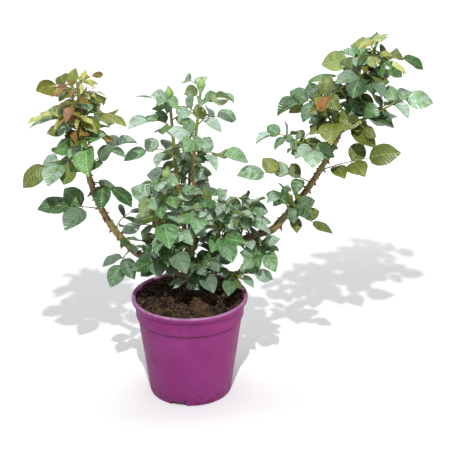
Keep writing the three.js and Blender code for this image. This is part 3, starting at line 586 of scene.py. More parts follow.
strewings = (  # name, shapes, how many, smallest and largest, tilt in radians, rise, seed, finish
    ("compost_crumbs", [crumb_shape(i) for i in range(4)], 2400, (1.4, 6.5), 3.1, 0.0, 11,
     strewn_finish("peat_crumbs", 14, ("#1c1511", "#6c5442"))),
    ("bark_chips", [crumb_shape(i, 0.5, 0.3) for i in range(4, 7)], 260, (4, 11), 0.6, 0.4, 5,
     strewn_finish("bark_chips", 9, ("#1c110b", "#86664c"))),
    ("peat_fibres", [fibre_shape(i) for i in range(5)], 320, (5, 12), 0.6, 0.8, 8,
     strewn_finish("peat_fibres", 5, ("#4a3020", "#ad8a5e"))),
    ("straws", [fibre_shape(i) for i in range(5, 8)], 18, (9, 17), 0.4, 1.8, 3,
     strewn_finish("straws", 5, ("#b8985c", "#e6d4a4"))),
)
top_area = math.pi * (SOIL_RADIUS * MM) ** 2
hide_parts("soil")
for name, meshes, count, (smallest, largest), tilt, rise, seed, finish in strewings:
    strewing = make(name, compost.data.copy(), strew, {
        "Density": count / top_area, "Smallest": smallest * MM, "Largest": largest * MM, "Tilt": tilt,
        "Rise": rise * MM, "Seed": seed, "Finish": finish}, meshes)
    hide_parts("soil")
    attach(strewing, "root")
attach(compost, "root")

# The stem and canes: rose wood, grown and not made. The old stem stands in the compost and the canes
# and shoots grow out of it in arcs, green-brown and smooth but for fine lengthwise ridges, leaf scars
# and rings. Each limb is fused to the one that it starts from. Headings and rises are in degrees.
GOLDEN_TURN = 137.5  # degrees round the stem from one leaf to the next
GAP = 0.3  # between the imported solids
LIMB_STEP = 18  # length of one piece of a limb's arc
LEAST_STEPS = 3
FLARE_FALL = 6  # power by which the flare of a foot falls off
TRUNK = dict(name="main_stem", start=(*STEM_FOOT, SOIL_LEVEL + GAP), heading=-150, rise=83, length=64,
             radius=(10.5, 9), flare=6)
LIMBS = [
    TRUNK,
    dict(name="left_cane_foot", on="main_stem", at=0.8, heading=-168, rise=21, bend=24, length=95,
         radius=(6.2, 5.8), prickles=9),
    dict(name="left_cane", on="left_cane_foot", at=1, heading=-161, rise=67, bend=42, length=195,
         radius=(5.8, 4.4), prickles=18),
    dict(name="right_cane_foot", on="main_stem", at=0.86, heading=4, rise=24, bend=-16, length=146,
         radius=(6.4, 6), prickles=8),
    dict(name="right_cane", on="right_cane_foot", at=1, heading=7, rise=57, bend=24, length=200,
         radius=(6, 3.8), prickles=19),
    dict(name="front_shoot", on="main_stem", at=0.42, heading=-135, rise=62, bend=70, turn=30, length=150,
         radius=(4.2, 3.2), prickles=6),
    dict(name="left_shoot", on="main_stem", at=1, heading=158, rise=82, bend=4, length=165,
         radius=(4, 3.2), prickles=8),
    dict(name="middle_shoot", on="main_stem", at=0.58, heading=-80, rise=82, bend=24, length=200,
         radius=(3.6, 2.6), prickles=6),
    dict(name="low_twig", on="main_stem", at=0.26, heading=-22, rise=28, bend=-60, length=80,
         radius=(3, 2.2), prickles=2),
    dict(name="back_shoot", on="main_stem", at=0.6, heading=95, rise=60, bend=40, length=120,
         radius=(4, 3), prickles=4),
]


def seeded(seed):
    """A source of numbers from 0 to 1, the same on every run."""
    state = seed * 7919

    def draw():
        nonlocal state
        state = state * 16807 % 2147483647
        return state / 2147483647

    draw()
    return draw


def jitter(draw, most):
    return (draw() * 2 - 1) * most


def by_chance(draw, least, more):
    return least + more * draw()


def lerp(a, b, share):
    return a + (b - a) * share


def unit(way):
    return way / np.linalg.norm(way)


def towards(heading, rise):
    """The direction of a heading and a rise."""
    turn, up = math.radians(heading), math.radians(rise)
    return np.array([math.cos(turn) * math.cos(up), math.sin(turn) * math.cos(up), math.sin(up)])


def arc(start, steps, heading, rise, length, bend=0, turn=0):
    """The points of an arc with the mean heading and rise given, which change by turn and bend."""
    points = [np.array(start, float)]
    for i in range(steps):
        share = (i + 0.5) / steps - 0.5
        points.append(points[-1] + towards(heading + turn * share, rise + bend * share) * length / steps)
    return np.array(points)


def along(points, share):
    """The point a share of the way along a chain of points."""
    place = share * (len(points) - 1)
    i = min(int(place), len(points) - 2)
    return points[i] + (points[i + 1] - points[i]) * (place - i)


def direction(points, share):
    i = min(int(share * (len(points) - 1)), len(points) - 2)
    return unit(points[i + 1] - points[i])


def squared(way, other):
    """The part of a direction that is square to another."""
    return unit(way - other * way.dot(other))


def swung(way, axis, degrees):
    """A direction turned about an axis."""
    angle = math.radians(degrees)
    return (way * math.cos(angle) + np.cross(axis, way) * math.sin(angle)
            + axis * axis.dot(way) * (1 - math.cos(angle)))


def out_of(ahead, degrees):
    """The way out of a limb at an angle round it."""
    return swung(unit(np.cross([0, 1, 0], ahead)), ahead, degrees)


ARC_FORM = ("heading", "rise", "length", "bend", "turn")


def steps_of(row):
    return max(LEAST_STEPS, round(row["length"] / LIMB_STEP))


def grow_limb(row, limbs):
    start = row["start"] if "start" in row else along(limbs[row["on"]]["points"], row["at"])
    points = arc(start, steps_of(row), **{key: row[key] for key in ARC_FORM if key in row})
    shares = np.linspace(0, 1, len(points))
    radii = lerp(*row["radius"], shares) + row.get("flare", 0) * (1 - shares) ** FLARE_FALL
    return dict(row, points=points, radii=radii)


limbs = {}
for row in LIMBS:
    limbs[row["name"]] = grow_limb(row, limbs)

# Sweeps bark along lines: smooths them, swells them at the leaf scars and raises fine ridges. The
# lines carry their girth and their age, from 0 for old wood to 1 for a green shoot.
SCAR_HALF = 0.14  # half length of a scar, as a share of the distance between scars
RIDGE_DRAWN = 0.22  # fineness of the ridges lengthwise, as a share of that across
sweep, given, out = new_maker("sweep_bark", {
    "Sides": "Int", "Ring spacing": "Float", "Scar spacing": "Float", "Swelling": "Float", "Relief": "Float",
    "Ridge width": "Float", "Finish": "Material"})
lines = add_node(sweep, "GeometryNodeMeshToCurve", {"Mesh": given["Geometry"]})
bent = add_node(sweep, "GeometryNodeCurveSplineType", {"Curve": lines}, spline_type="CATMULL_ROM")
rings = add_node(sweep, "GeometryNodeResampleCurve", {
    "Curve": bent, "Length": given["Ring spacing"]}, mode="LENGTH")
run = add_node(sweep, "GeometryNodeSplineParameter").outputs["Length"]
measured = add_node(sweep, "GeometryNodeStoreNamedAttribute", {
    "Geometry": rings, "Name": "run", "Value": run}, data_type="FLOAT", domain="POINT")
scars = add_node(sweep, "ShaderNodeMath", {0: run, 1: given["Scar spacing"]}, operation="DIVIDE")
off_scar = add_node(sweep, "ShaderNodeMath", {0: scars, 1: 0.5}, operation="PINGPONG")
at_scar = add_node(sweep, "ShaderNodeMapRange", {
    "Value": off_scar, "From Max": SCAR_HALF, "To Min": 1, "To Max": 0}, interpolation_type="SMOOTHSTEP")
swelling = add_node(sweep, "ShaderNodeMath", {
    0: at_scar, 1: given["Swelling"], 2: 1}, operation="MULTIPLY_ADD")
girth = add_node(sweep, "GeometryNodeInputNamedAttribute", {"Name": "girth"}, data_type="FLOAT")
swollen = add_node(sweep, "ShaderNodeMath", {0: girth, 1: swelling}, operation="MULTIPLY")
ring = add_node(sweep, "GeometryNodeCurvePrimitiveCircle", {"Resolution": given["Sides"], "Radius": 1})
marked = add_node(sweep, "GeometryNodeStoreNamedAttribute", {
    "Geometry": ring, "Name": "round_about", "Value": add_node(sweep, "GeometryNodeInputPosition")},
    data_type="FLOAT_VECTOR", domain="POINT")
tubes = add_node(sweep, "GeometryNodeCurveToMesh", {
    "Curve": measured, "Profile Curve": marked, "Scale": swollen, "Fill Caps": True})
round_about = add_node(sweep, "GeometryNodeInputNamedAttribute", {
    "Name": "round_about"}, data_type="FLOAT_VECTOR")
across = add_node(sweep, "ShaderNodeVectorMath", {0: round_about, "Scale": girth}, operation="SCALE")
run_kept = add_node(sweep, "GeometryNodeInputNamedAttribute", {"Name": "run"}, data_type="FLOAT")
lengthwise = add_node(sweep, "ShaderNodeCombineXYZ", {"Z": run_kept})
on_bark = add_node(sweep, "ShaderNodeVectorMath", {0: across, 1: lengthwise}, operation="ADD")
grained = add_node(sweep, "GeometryNodeStoreNamedAttribute", {
    "Geometry": tubes, "Name": "grain", "Value": on_bark}, data_type="FLOAT_VECTOR", domain="POINT")
drawn_out = add_node(sweep, "ShaderNodeVectorMath", {
    0: on_bark, 1: (1, 1, RIDGE_DRAWN)}, operation="MULTIPLY")
fineness = add_node(sweep, "ShaderNodeMath", {0: 1, 1: given["Ridge width"]}, operation="DIVIDE")
ridges = add_node(sweep, "ShaderNodeTexNoise", {"Vector": drawn_out, "Scale": fineness, "Detail": 2})
raised = add_node(sweep, "ShaderNodeMath", {0: ridges, 1: -0.5}, operation="ADD")
height = add_node(sweep, "ShaderNodeMath", {0: raised, 1: given["Relief"]}, operation="MULTIPLY")
outward = add_node(sweep, "ShaderNodeVectorMath", {
    0: add_node(sweep, "GeometryNodeInputNormal"), "Scale": height}, operation="SCALE")
shaped = add_node(sweep, "GeometryNodeSetPosition", {"Geometry": grained, "Offset": outward})
set_inputs(out, {0: with_finish(sweep, shaped, given["Finish"])})


def lines_mesh(name, lines):
    """Lines for a sweep, each of points and girths in mm and one age or an age for each point."""
    points, edges, girths, ages = [], [], [], []
    for chain, radii, age in lines:
        edges.extend((len(points) + i, len(points) + i + 1) for i in range(len(chain) - 1))
        points.extend(chain * MM)
        girths.extend(np.broadcast_to(radii, len(chain)) * MM)
        ages.extend(np.broadcast_to(age, len(chain)))
    mesh = new_mesh(name, points, [], edges)
    mesh.attributes.new("girth", "FLOAT", "POINT").data.foreach_set("value", girths)
    mesh.attributes.new("age", "FLOAT", "POINT").data.foreach_set("value", ages)
    return mesh


# Rose bark: green shoots turn olive and then brown with age, with red patches on all but the oldest
# wood and fine lengthwise streaks. It is smooth and a little waxy.
BARK_WOODY = "#3d2f26"
BARK_OLIVE = ("#83814a", "#8e6c44")
BARK_GREEN = "#7c8f3c"
BARK_RED = "#8c3a22"
BARK_PATCH = 16
BARK_STREAK = 0.9
rose_bark, tree, shader, here = new_finish("rose_bark", {"IOR": 1.45})
on_bark = add_node(tree, "ShaderNodeAttribute", attribute_name="grain").outputs["Vector"]
age = add_node(tree, "ShaderNodeAttribute", attribute_name="age").outputs["Fac"]
olive = mottled(tree, here, BARK_PATCH, (0.42, 0.62), BARK_OLIVE, detail=4)
young = add_node(tree, "ShaderNodeMapRange", {"Value": age, "From Max": 0.12})
woody = add_node(tree, "ShaderNodeMix", {"Factor": young, "A": BARK_WOODY, "B": olive}, data_type="RGBA")
green = add_node(tree, "ShaderNodeMapRange", {"Value": age, "From Min": 0.35})
aged = add_node(tree, "ShaderNodeMix", {"Factor": green, "A": woody, "B": BARK_GREEN}, data_type="RGBA")
drawn_out = add_node(tree, "ShaderNodeMapping", {"Vector": on_bark, "Scale": (1, 1, 0.08)})
streaks = blotches(tree, drawn_out, BARK_STREAK, (0.35, 0.65), (0.6, 1.25), detail=3)
streaked = add_node(tree, "ShaderNodeVectorMath", {0: aged, "Scale": streaks}, operation="SCALE")
reds = blotches(tree, here, 9, (0.57, 0.69), (0, 0.6), roughness=0.6)
set_inputs(shader, {
    "Base Color": laid_over(tree, streaked, BARK_RED, young, reds),
    "Roughness": blotches(tree, here, BARK_PATCH, (0.3, 0.7), (0.62, 0.42), detail=4),
    "Normal": grain(tree, drawn_out, BARK_STREAK, 3, 0.5, 0.25)})

# The leafy masses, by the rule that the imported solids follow: each is one stem with its own leaves
# on the limb named. A leaf is a stalk with pairs of leaflets and a leaflet at its end. The tints are
# dealt out in turn to the leaves of a spray, oldest leaf first. Measures by chance have two numbers,
# the least and how much more at most.
MASS_DEFAULTS = dict(bend=0, turn=0, leaves=0, leaflets=5, size=44, stalk=46, lift=16, droop=60, hang=0.35,
                     spin=0, first=0.12, twigs=0, bud=0, seed=1)
MASSES = [
    dict(name="left_crown", on="left_cane", at=1, heading=-109, rise=83, length=112, radius=(4.4, 2.2),
         leaves=10, size=50, stalk=40, lift=8, spin=150, twigs=1, seed=11,
         tints="bloomed fresh fresh fresh olive young bronze young olive young bronze young young"),
    dict(name="left_outer_leaf", on="left_cane", at=0.93, heading=-166, rise=-2, length=62, radius=(1.4, 1),
         size=52, droop=40, hang=0.6, seed=3, tints="bloomed fresh bloomed silvered olive"),
    dict(name="left_mid_leaf", on="left_cane", at=0.5, heading=-172, rise=8, length=44, radius=(1.5, 1),
         size=58, leaflets=3, droop=16, hang=0.1, seed=4, tints="deep bloomed deep"),
    dict(name="left_inner_leaf", on="left_cane", at=0.28, heading=39, rise=38, length=38, radius=(1.2, 0.9),
         size=34, seed=3, tints="deep"),
    dict(name="left_crown_side", on="left_cane", at=0.85, heading=-13, rise=41, length=44, radius=(2, 1.4),
         leaves=3, size=50, stalk=26, spin=120, seed=20, tints="bloomed deep bloomed"),
    dict(name="left_cane_leaf", on="left_cane", at=0.75, heading=-24, rise=-6, length=34, radius=(1.3, 0.9),
         size=44, droop=30, hang=0.7, seed=5, tints="deep"),
    dict(name="left_low_leaf", on="left_cane", at=0.05, heading=-127, rise=-28, length=34, radius=(1.4, 1),
         size=42, seed=7, tints="deep"),
    dict(name="front_shoot_top", on="front_shoot", at=1, heading=-22, rise=78, length=66, radius=(3.2, 2.2),
         leaves=6, size=46, stalk=34, spin=-60, bud=6.5, seed=8, tints="fresh silvered silvered bloomed"),
    dict(name="front_side_leaves", on="front_shoot", at=0.6, heading=-56, rise=50, length=56, radius=(2, 1.4),
         leaves=5, size=46, stalk=32, spin=180, seed=1, tints="fresh deep bloomed silvered"),
    dict(name="front_low_leaves", on="front_shoot", at=0.3, heading=-137, rise=35, length=44, radius=(2, 1.4),
         leaves=4, size=40, stalk=30, spin=300, seed=11, tints="deep"),
    dict(name="left_shoot_top", on="left_shoot", at=1, heading=142, rise=85, length=100, radius=(3.2, 2),
         leaves=7, size=42, stalk=46, spin=175, bud=6.5, seed=9, tints="silvered bloomed silvered bloomed"),
    dict(name="left_shoot_leaves", on="left_shoot", at=0.5, heading=146, rise=30, length=54, radius=(2, 1.4),
         leaves=4, size=42, stalk=34, spin=300, seed=23, tints="bloomed silvered"),
    dict(name="middle_shoot_top", on="middle_shoot", at=1, heading=38, rise=82, length=116, radius=(2.6, 1.8),
         leaves=7, size=44, stalk=44, spin=0, bud=6, seed=10, tints="silvered bloomed silvered"),
    dict(name="middle_right_leaves", on="right_cane_foot", at=0.3, heading=-63, rise=68, bend=10, length=104,
         radius=(2.6, 1.6), leaves=8, size=46, stalk=40, seed=21, tints="silvered silvered fresh bloomed"),
    dict(name="right_middle_leaves", on="right_cane_foot", at=0.6, heading=-67, rise=58, length=76,
         radius=(2, 1.4), leaves=6, size=42, stalk=36, spin=120, seed=4, tints="silvered bloomed deep"),
    dict(name="middle_shoot_leaves", on="middle_shoot", at=0.55, heading=-40, rise=46, length=48,
         radius=(2, 1.4), leaves=4, size=42, stalk=34, spin=120, seed=57,
         tints="silvered fresh olive silvered"),
    dict(name="middle_low_leaves", on="main_stem", at=0.7, heading=-68, rise=34, length=60, radius=(2, 1.4),
         leaves=5, size=40, stalk=32, spin=180, seed=1, tints="deep"),
    dict(name="low_front_leaf", on="main_stem", at=0.2, heading=-110, rise=34, length=60, radius=(1.3, 0.9),
         size=36, droop=50, seed=56, tints="bloomed"),
    dict(name="low_right_leaves", on="low_twig", at=1, heading=-28, rise=-20, length=24, radius=(2.2, 1.4),
         leaves=3, size=36, stalk=28, lift=0, spin=240, seed=3, tints="deep fresh"),
    dict(name="right_hanging_leaves", on="right_cane_foot", at=0.84, heading=-88, rise=-40, length=40,
         radius=(1.8, 1.2), leaves=4, size=42, stalk=26, lift=-5, spin=180, seed=4, tints="deep fresh"),
    dict(name="right_low_outer_leaf", on="right_cane", at=0.15, heading=-28, rise=0, length=48,
         radius=(1.3, 0.9), size=38, seed=16, tints="olive"),
    dict(name="right_cane_leaves", on="right_cane", at=0.2, heading=-108, rise=49, length=44,
         radius=(1.8, 1.2), leaves=4, size=40, stalk=26, spin=180, seed=40, tints="bloomed deep olive"),
    dict(name="right_inner_leaf", on="right_cane", at=0.5, heading=-160, rise=18, length=84, radius=(1.5, 1),
         size=44, leaflets=7, droop=30, seed=13,
         tints="bloomed olive silvered silvered bloomed olive silvered"),
    dict(name="right_outer_leaf", on="right_cane", at=0.62, heading=-14, rise=19, length=78, radius=(1.5, 1),
         size=50, droop=10, hang=0, seed=15, tints="olive"),
    dict(name="right_side_shoot", on="right_cane", at=0.76, heading=-165, rise=26, length=74,
         radius=(2.2, 1.4), leaves=4, size=48, stalk=34, spin=120, seed=23,
         tints="bloomed silvered olive silvered"),
    dict(name="right_crown_left", on="right_cane", at=0.94, heading=-156, rise=58, length=80,
         radius=(2.6, 1.6), leaves=5, size=56, stalk=36, spin=120, seed=23,
         tints="silvered olive bloomed deep olive"),
    dict(name="right_crown_right", on="right_cane", at=0.96, heading=-19, rise=33, length=94,
         radius=(2.6, 1.6), leaves=4, size=62, stalk=34, spin=-70, seed=1, tints="olive deep deep silvered"),
    dict(name="right_crown", on="right_cane", at=1, heading=3, rise=70, length=146, radius=(3.8, 2),
         leaves=12, size=54, stalk=42, lift=4, spin=170, twigs=2, seed=18,
         tints="deep deep bloomed deep deep bloomed deep deep fresh young fresh young deep bronze bronze"
               " olive deep"),
    dict(name="back_leaves", on="back_shoot", at=1, heading=88, rise=66, length=84, radius=(3, 1.8),
         leaves=5, size=48, stalk=44, seed=24, tints="silvered bloomed"),
    dict(name="back_right_leaves", on="right_cane_foot", at=0.34, heading=53, rise=45, length=70,
         radius=(2.2, 1.4), leaves=5, size=46, stalk=36, spin=180, seed=32, tints="bloomed silvered"),
    dict(name="back_left_leaves", on="left_cane_foot", at=0.3, heading=132, rise=50, length=70,
         radius=(2.2, 1.4), leaves=5, size=46, stalk=36, seed=4, tints="bloomed silvered"),
    dict(name="right_crown_back", on="right_cane", at=0.93, heading=104, rise=46, length=56,
         radius=(2.4, 1.6), leaves=4, size=50, stalk=36, seed=39, tints="deep olive"),
]
UP = np.array([0.0, 0.0, 1.0])
SUNNY_SIDE = np.array([0, -0.5, 0])
OUTWARD = 0.5  # how far a leaf faces away from its stem, per unit of facing up
LEAF_TURNED = 0.45  # by chance, of a leaf's facing, per unit of facing up
LEAFLET_TURNED = 0.25  # and of one leaflet's
STALK_STEPS = 2
STALK_RADIUS = 1
LEAFLET_BASE = 1.3  # thickness of the solid's leaflet where it joins the stalk
LEAFLET_BREADTH = 0.68  # as a share of length
LEAFLET_FOLD = 0.22  # rise of the margin per unit of half breadth
PAIR_SCALE = (0.72, 0.88)  # size of the first and last pair as a share of the end leaflet
PAIR_ANGLE = 62  # of a side leaflet from the stalk
PAIR_SPREAD = 8
END_SPREAD = 10  # of the angle of an end leaflet
PAIR_SPACING = 0.34  # between pairs, as a share of the stalk
PAIRED_SHARE = 0.75  # most of a stalk that pairs may take up
HANGS = (0.6, 0.8)
LENGTHS = (0.92, 0.16)
BREADTHS = (0.93, 0.14)
STALKS = (0.85, 0.3)
HEADING_SPREAD = 20  # of a leaf round its stem
RISE_SPREAD = 12
LIFT_TO_TIP = 20  # how much more the last leaf of a stem rises than the first
LAST_LEAF = 0.97  # share of the stem
TIP_SHRINK = 0.3
TWIG = dict(rise=38, length=46, bend=24)
TWIG_SHARES = (0.3, 0.85)  # of the stem, from which twigs grow
TWIG_SPIN = 60  # heading of the first twig from that of the first leaf
TWIG_LEAVES = (0.5, 0.75, 1)  # shares of a twig
TWIG_LEAF_SCALE = 0.8
TWIG_LEAF_SPREAD = 15
CROWDING = 0.44  # least distance between leaflet middles, as a share of length
LEAF_CLEARANCE = 0.6
STEEP = 0.9  # upward share of a direction, over which a box is squared to +X in place of +Z
PRICKLE_LENGTH = 7
PRICKLE_LENGTHS = (0.75, 0.5)
PRICKLE_SEED = 31
PRICKLE_SCATTER = 0.8  # by chance, of the distance from one to the next
PRICKLE_SPREAD = 30  # of a prickle round its limb
PRICKLE_FREE_ENDS = 0.06  # share of a limb at either end with no prickles
PRICKLE_FREE_ROOT = 11  # distance from the root of a branch or leaf
PRICKLE_HALF = 3  # half breadth of the room that it takes


def facing_by_chance(draw, most):
    return np.array([jitter(draw, most), jitter(draw, most), 0])


def grow_leaf(start, form, draw, heading, rise, stalk, size, tint):
    """A stalk along an arc, pairs of side leaflets and an end leaflet, whose tips hang."""
    points = arc(start, STALK_STEPS, heading, rise, stalk, -form["droop"], form["turn"])
    sky = unit(towards(heading, 0) * OUTWARD + UP + SUNNY_SIDE + facing_by_chance(draw, LEAF_TURNED))
    leaflets = []

    def place(share, angle, scale):
        ahead = direction(points, share)
        way = swung(ahead, squared(sky, ahead), angle)
        way = unit(way - UP * form["hang"] * by_chance(draw, *HANGS))
        up = squared(unit(sky + facing_by_chance(draw, LEAFLET_TURNED)), way)
        length = size * scale * by_chance(draw, *LENGTHS)
        breadth = length * LEAFLET_BREADTH * by_chance(draw, *BREADTHS)
        leaflets.append(dict(root=along(points, share), way=way, across=np.cross(up, way), up=up,
                             length=length, breadth=breadth, tint=tint))

    pairs = (form["leaflets"] - 1) // 2
    for i in range(pairs):
        share = 1 - min(PAIR_SPACING, PAIRED_SHARE / pairs) * (pairs - i)
        scale = lerp(*PAIR_SCALE, (i + 1) / pairs)
        angle = PAIR_ANGLE + jitter(draw, PAIR_SPREAD)
        place(share, angle, scale)
        place(share, -angle, scale)
    place(1, jitter(draw, END_SPREAD), 1)
    return dict(points=points, leaflets=leaflets)


def grow_mass(row):
    """The stem, twigs and leaves of one mass, before anything is skipped."""
    form = dict(MASS_DEFAULTS, **row)
    draw = seeded(form["seed"])
    tints = form["tints"].split()
    start = along(limbs[form["on"]]["points"], form["at"])
    if not form["leaves"]:
        leaf = grow_leaf(start, form, draw, form["heading"], form["rise"], form["length"], form["size"], "")
        own = [dict(leaflet, tint=tints[i % len(tints)]) for i, leaflet in enumerate(leaf["leaflets"])]
        return dict(form, stem=leaf["points"], twig_lines=[], grown=[], own=own)
    stem = arc(start, steps_of(form), **{key: form[key] for key in ARC_FORM})
    grown, twig_lines = [], []

    def leaf_on(points, share, heading, scale):
        rise = form["lift"] + LIFT_TO_TIP * (share - 0.5) + jitter(draw, RISE_SPREAD)
        stalk = form["stalk"] * scale * by_chance(draw, *STALKS)
        turn = min(len(grown), len(tints) - 1) if form["twigs"] else len(grown) % len(tints)
        grown.append(grow_leaf(
            along(points, share), form, draw, heading, rise, stalk, form["size"] * scale, tints[turn]))

    for i in range(form["leaves"]):
        share = lerp(form["first"], LAST_LEAF, i / max(1, form["leaves"] - 1))
        heading = form["spin"] + i * GOLDEN_TURN + jitter(draw, HEADING_SPREAD)
        leaf_on(stem, share, heading, 1 - TIP_SHRINK * share * share)
    for i in range(form["twigs"]):
        heading = form["spin"] + TWIG_SPIN + i * GOLDEN_TURN
        points = arc(along(stem, lerp(*TWIG_SHARES, i / form["twigs"])), LEAST_STEPS, heading, **TWIG)
        twig_lines.append(points)
        for k, share in enumerate(TWIG_LEAVES):
            leaf_on(points, share, heading + (k - 1) * GOLDEN_TURN + jitter(draw, TWIG_LEAF_SPREAD),
                    TWIG_LEAF_SCALE)
    return dict(form, stem=stem, twig_lines=twig_lines, grown=grown, own=[])


def take(owner, boxes):
    """Notes the boxes of what stands, so that a new leaf can keep clear of it."""
    standing.extend((owner, *box) for box in boxes)


def is_free(owner, box):
    """Whether a box is apart from every box of another owner: the separating axis test."""
    owners, middles, theirs, b = (np.array(part) for part in zip(*standing))
    middle, ways, halves = box
    t = (middles - middle) @ ways.T
    reach = np.linalg.norm(halves) + np.linalg.norm(b, axis=1)
    near = (owners != owner) & (np.linalg.norm(t, axis=1) < reach)
    if not near.any():
        return True
    t, theirs, b = t[near], theirs[near], b[near]
    turn = np.einsum("ik,njk->nij", ways, theirs)
    flat = np.abs(turn) + 1e-12
    split = (np.abs(t) > halves + np.einsum("nj,nij->ni", b, flat)).any(1)
    split |= (np.abs(np.einsum("ni,nij->nj", t, turn)) > b + np.einsum("i,nij->nj", halves, flat)).any(1)
    for i in range(3):
        i1, i2 = (i + 1) % 3, (i + 2) % 3
        for j in range(3):
            j1, j2 = (j + 1) % 3, (j + 2) % 3
            gap = np.abs(t[:, i2] * turn[:, i1, j] - t[:, i1] * turn[:, i2, j])
            mine = halves[i1] * flat[:, i2, j] + halves[i2] * flat[:, i1, j]
            split |= gap > mine + b[:, j1] * flat[:, i, j2] + b[:, j2] * flat[:, i, j1]
    return bool(split.all())


def on_leaflet(leaflet, share):
    """The point a share of the way along a leaflet."""
    return leaflet["root"] + leaflet["way"] * leaflet["length"] * share


def leaflet_box(leaflet, share=1):
    """The box of a leaflet: its middle, its three directions and its half sizes, or a share of them."""
    rise, below = leaflet["breadth"] / 2 * LEAFLET_FOLD, LEAFLET_BASE / 2
    middle = on_leaflet(leaflet, 0.5) + leaflet["up"] * (rise - below) / 2
    ways = np.array([leaflet["way"], leaflet["across"], leaflet["up"]])
    halves = np.array([leaflet["length"] / 2, leaflet["breadth"] / 2, (rise + below) / 2])
    return middle, ways, halves * share


def length_boxes(points, radii, gap):
    """A box for each length of a chain, as in leaflet_box, wider by a gap."""
    for i in range(len(points) - 1):
        ahead = points[i + 1] - points[i]
        half = np.linalg.norm(ahead) / 2
        ahead = unit(ahead)
        across = squared(UP if abs(ahead[2]) < STEEP else np.array([1.0, 0, 0]), ahead)
        radius = max(radii[i], radii[i + 1]) + gap
        yield ((points[i] + points[i + 1]) / 2, np.array([ahead, across, np.cross(ahead, across)]),
               np.array([half + gap, radius, radius]))


def stem_radii(mass):
    return lerp(*mass["radius"], np.linspace(0, 1, len(mass["stem"])))


def keep_clear(mass, leaves, own=(), crowding=CROWDING, share=1):
    """Drops the leaves and leaflets that would touch a limb or another mass, or crowd their own."""
    middles, name = [], mass["name"]
    stalk_radii = [STALK_RADIUS] * (STALK_STEPS + 1)

    def fits(leaflet):
        middle = on_leaflet(leaflet, 0.5)
        if any(np.linalg.norm(other - middle) < crowding * leaflet["length"] for other in middles):
            return False
        if not is_free(name, leaflet_box(leaflet, share)):
            return False
        middles.append(middle)
        return True

    own = [leaflet for leaflet in own if fits(leaflet)]
    kept = []
    for leaf in leaves:
        if all(is_free(name, box) for box in length_boxes(leaf["points"], stalk_radii, 0)):
            leaflets = [leaflet for leaflet in leaf["leaflets"] if fits(leaflet)]
            if leaflets:
                kept.append(dict(leaf, leaflets=leaflets))
    take(name, [leaflet_box(leaflet) for leaflet in own])
    for leaf in kept:
        take(name, length_boxes(leaf["points"], stalk_radii, LEAF_CLEARANCE))
        take(name, [leaflet_box(leaflet) for leaflet in leaf["leaflets"]])
    return kept, own


def prickles_of(limb, roots):
    """The prickles of a limb: place, way along the limb, way out, the limb's radius and their length."""
    count = limb.get("prickles", 0)
    draw = seeded(len(limb["name"]) * PRICKLE_SEED + count)
    for i in range(count):
        share = lerp(PRICKLE_FREE_ENDS, 1 - PRICKLE_FREE_ENDS, (i + draw() * PRICKLE_SCATTER) / count)
        root, ahead = along(limb["points"], share), direction(limb["points"], share)
        out = out_of(ahead, i * GOLDEN_TURN + jitter(draw, PRICKLE_SPREAD))
        length = PRICKLE_LENGTH * by_chance(draw, *PRICKLE_LENGTHS)
        if all(np.linalg.norm(other - root) >= PRICKLE_FREE_ROOT for other in roots):
            yield root, ahead, out, lerp(*limb["radius"], share), length


masses = [grow_mass(row) for row in MASSES]
standing = []
for mass in masses:
    take(mass["name"], length_boxes(mass["stem"], stem_radii(mass), LEAF_CLEARANCE))
    for points in mass["twig_lines"]:
        take(mass["name"], length_boxes(points, [mass["radius"][1]] * len(points), LEAF_CLEARANCE))
roots = [limb["points"][0] for limb in list(limbs.values())[1:]] + [mass["stem"][0] for mass in masses]
spines = []
for limb in limbs.values():
    take(limb["name"], length_boxes(limb["points"], limb["radii"], LEAF_CLEARANCE))
    for spine in prickles_of(limb, roots):
        spines.append(spine)
        root, _, out, radius, length = spine
        reach = np.array([root, root + out * (radius + length)])
        take(limb["name"], length_boxes(reach, [PRICKLE_HALF] * 2, LEAF_CLEARANCE))
for mass in masses:
    mass["grown"], mass["own"] = keep_clear(mass, mass["grown"], mass["own"])

# The finer growth that the solids leave out: smaller leaves on short side twigs between the others.
# They keep clear in the same way, but may brush against a neighbour, and stay within their mass.
FINER = 1.1  # finer leaves for each leaf of the rule, but for the masses that have more or fewer
FINER_BY_MASS = dict(
    left_shoot_top=0, middle_shoot_top=0, front_shoot_top=0.8, left_crown=2.3, right_crown=2.1,
    right_crown_left=1.6, middle_low_leaves=3.2, middle_right_leaves=3, low_right_leaves=1.6,
    right_middle_leaves=3, right_hanging_leaves=1.6, back_leaves=2.6, back_right_leaves=3,
    back_left_leaves=2.4, middle_shoot_leaves=3.2, front_low_leaves=1.6, left_shoot_leaves=2.2)
FINER_SEED = 400  # more than the seed of the mass
FINER_TINTS = dict(left_crown="fresh olive bronze young bronze fresh young bronze",
                   right_crown="deep bloomed deep bronze deep fresh young")
FINER_ENDS = (0.04, 0.94)  # shares of the stem between which they grow
FINER_SPIN = (70, 40)  # heading of the first from that of the first leaf, and how far it varies
FINER_LIFT = (6, 25)  # how much more they rise, and how far that varies
FINER_STALKS = (0.5, 0.4)
FINER_SIZES = (0.48, 0.3)
FINER_ROOM = dict(crowding=0.34, share=0.6)  # how close they crowd, and the share of a leaflet kept clear
FINER_ROLL = 70  # degrees that their leaflets may roll


def tips_of(leaves):
    return np.array([on_leaflet(one, 1) for leaf in leaves for one in leaf["leaflets"]])


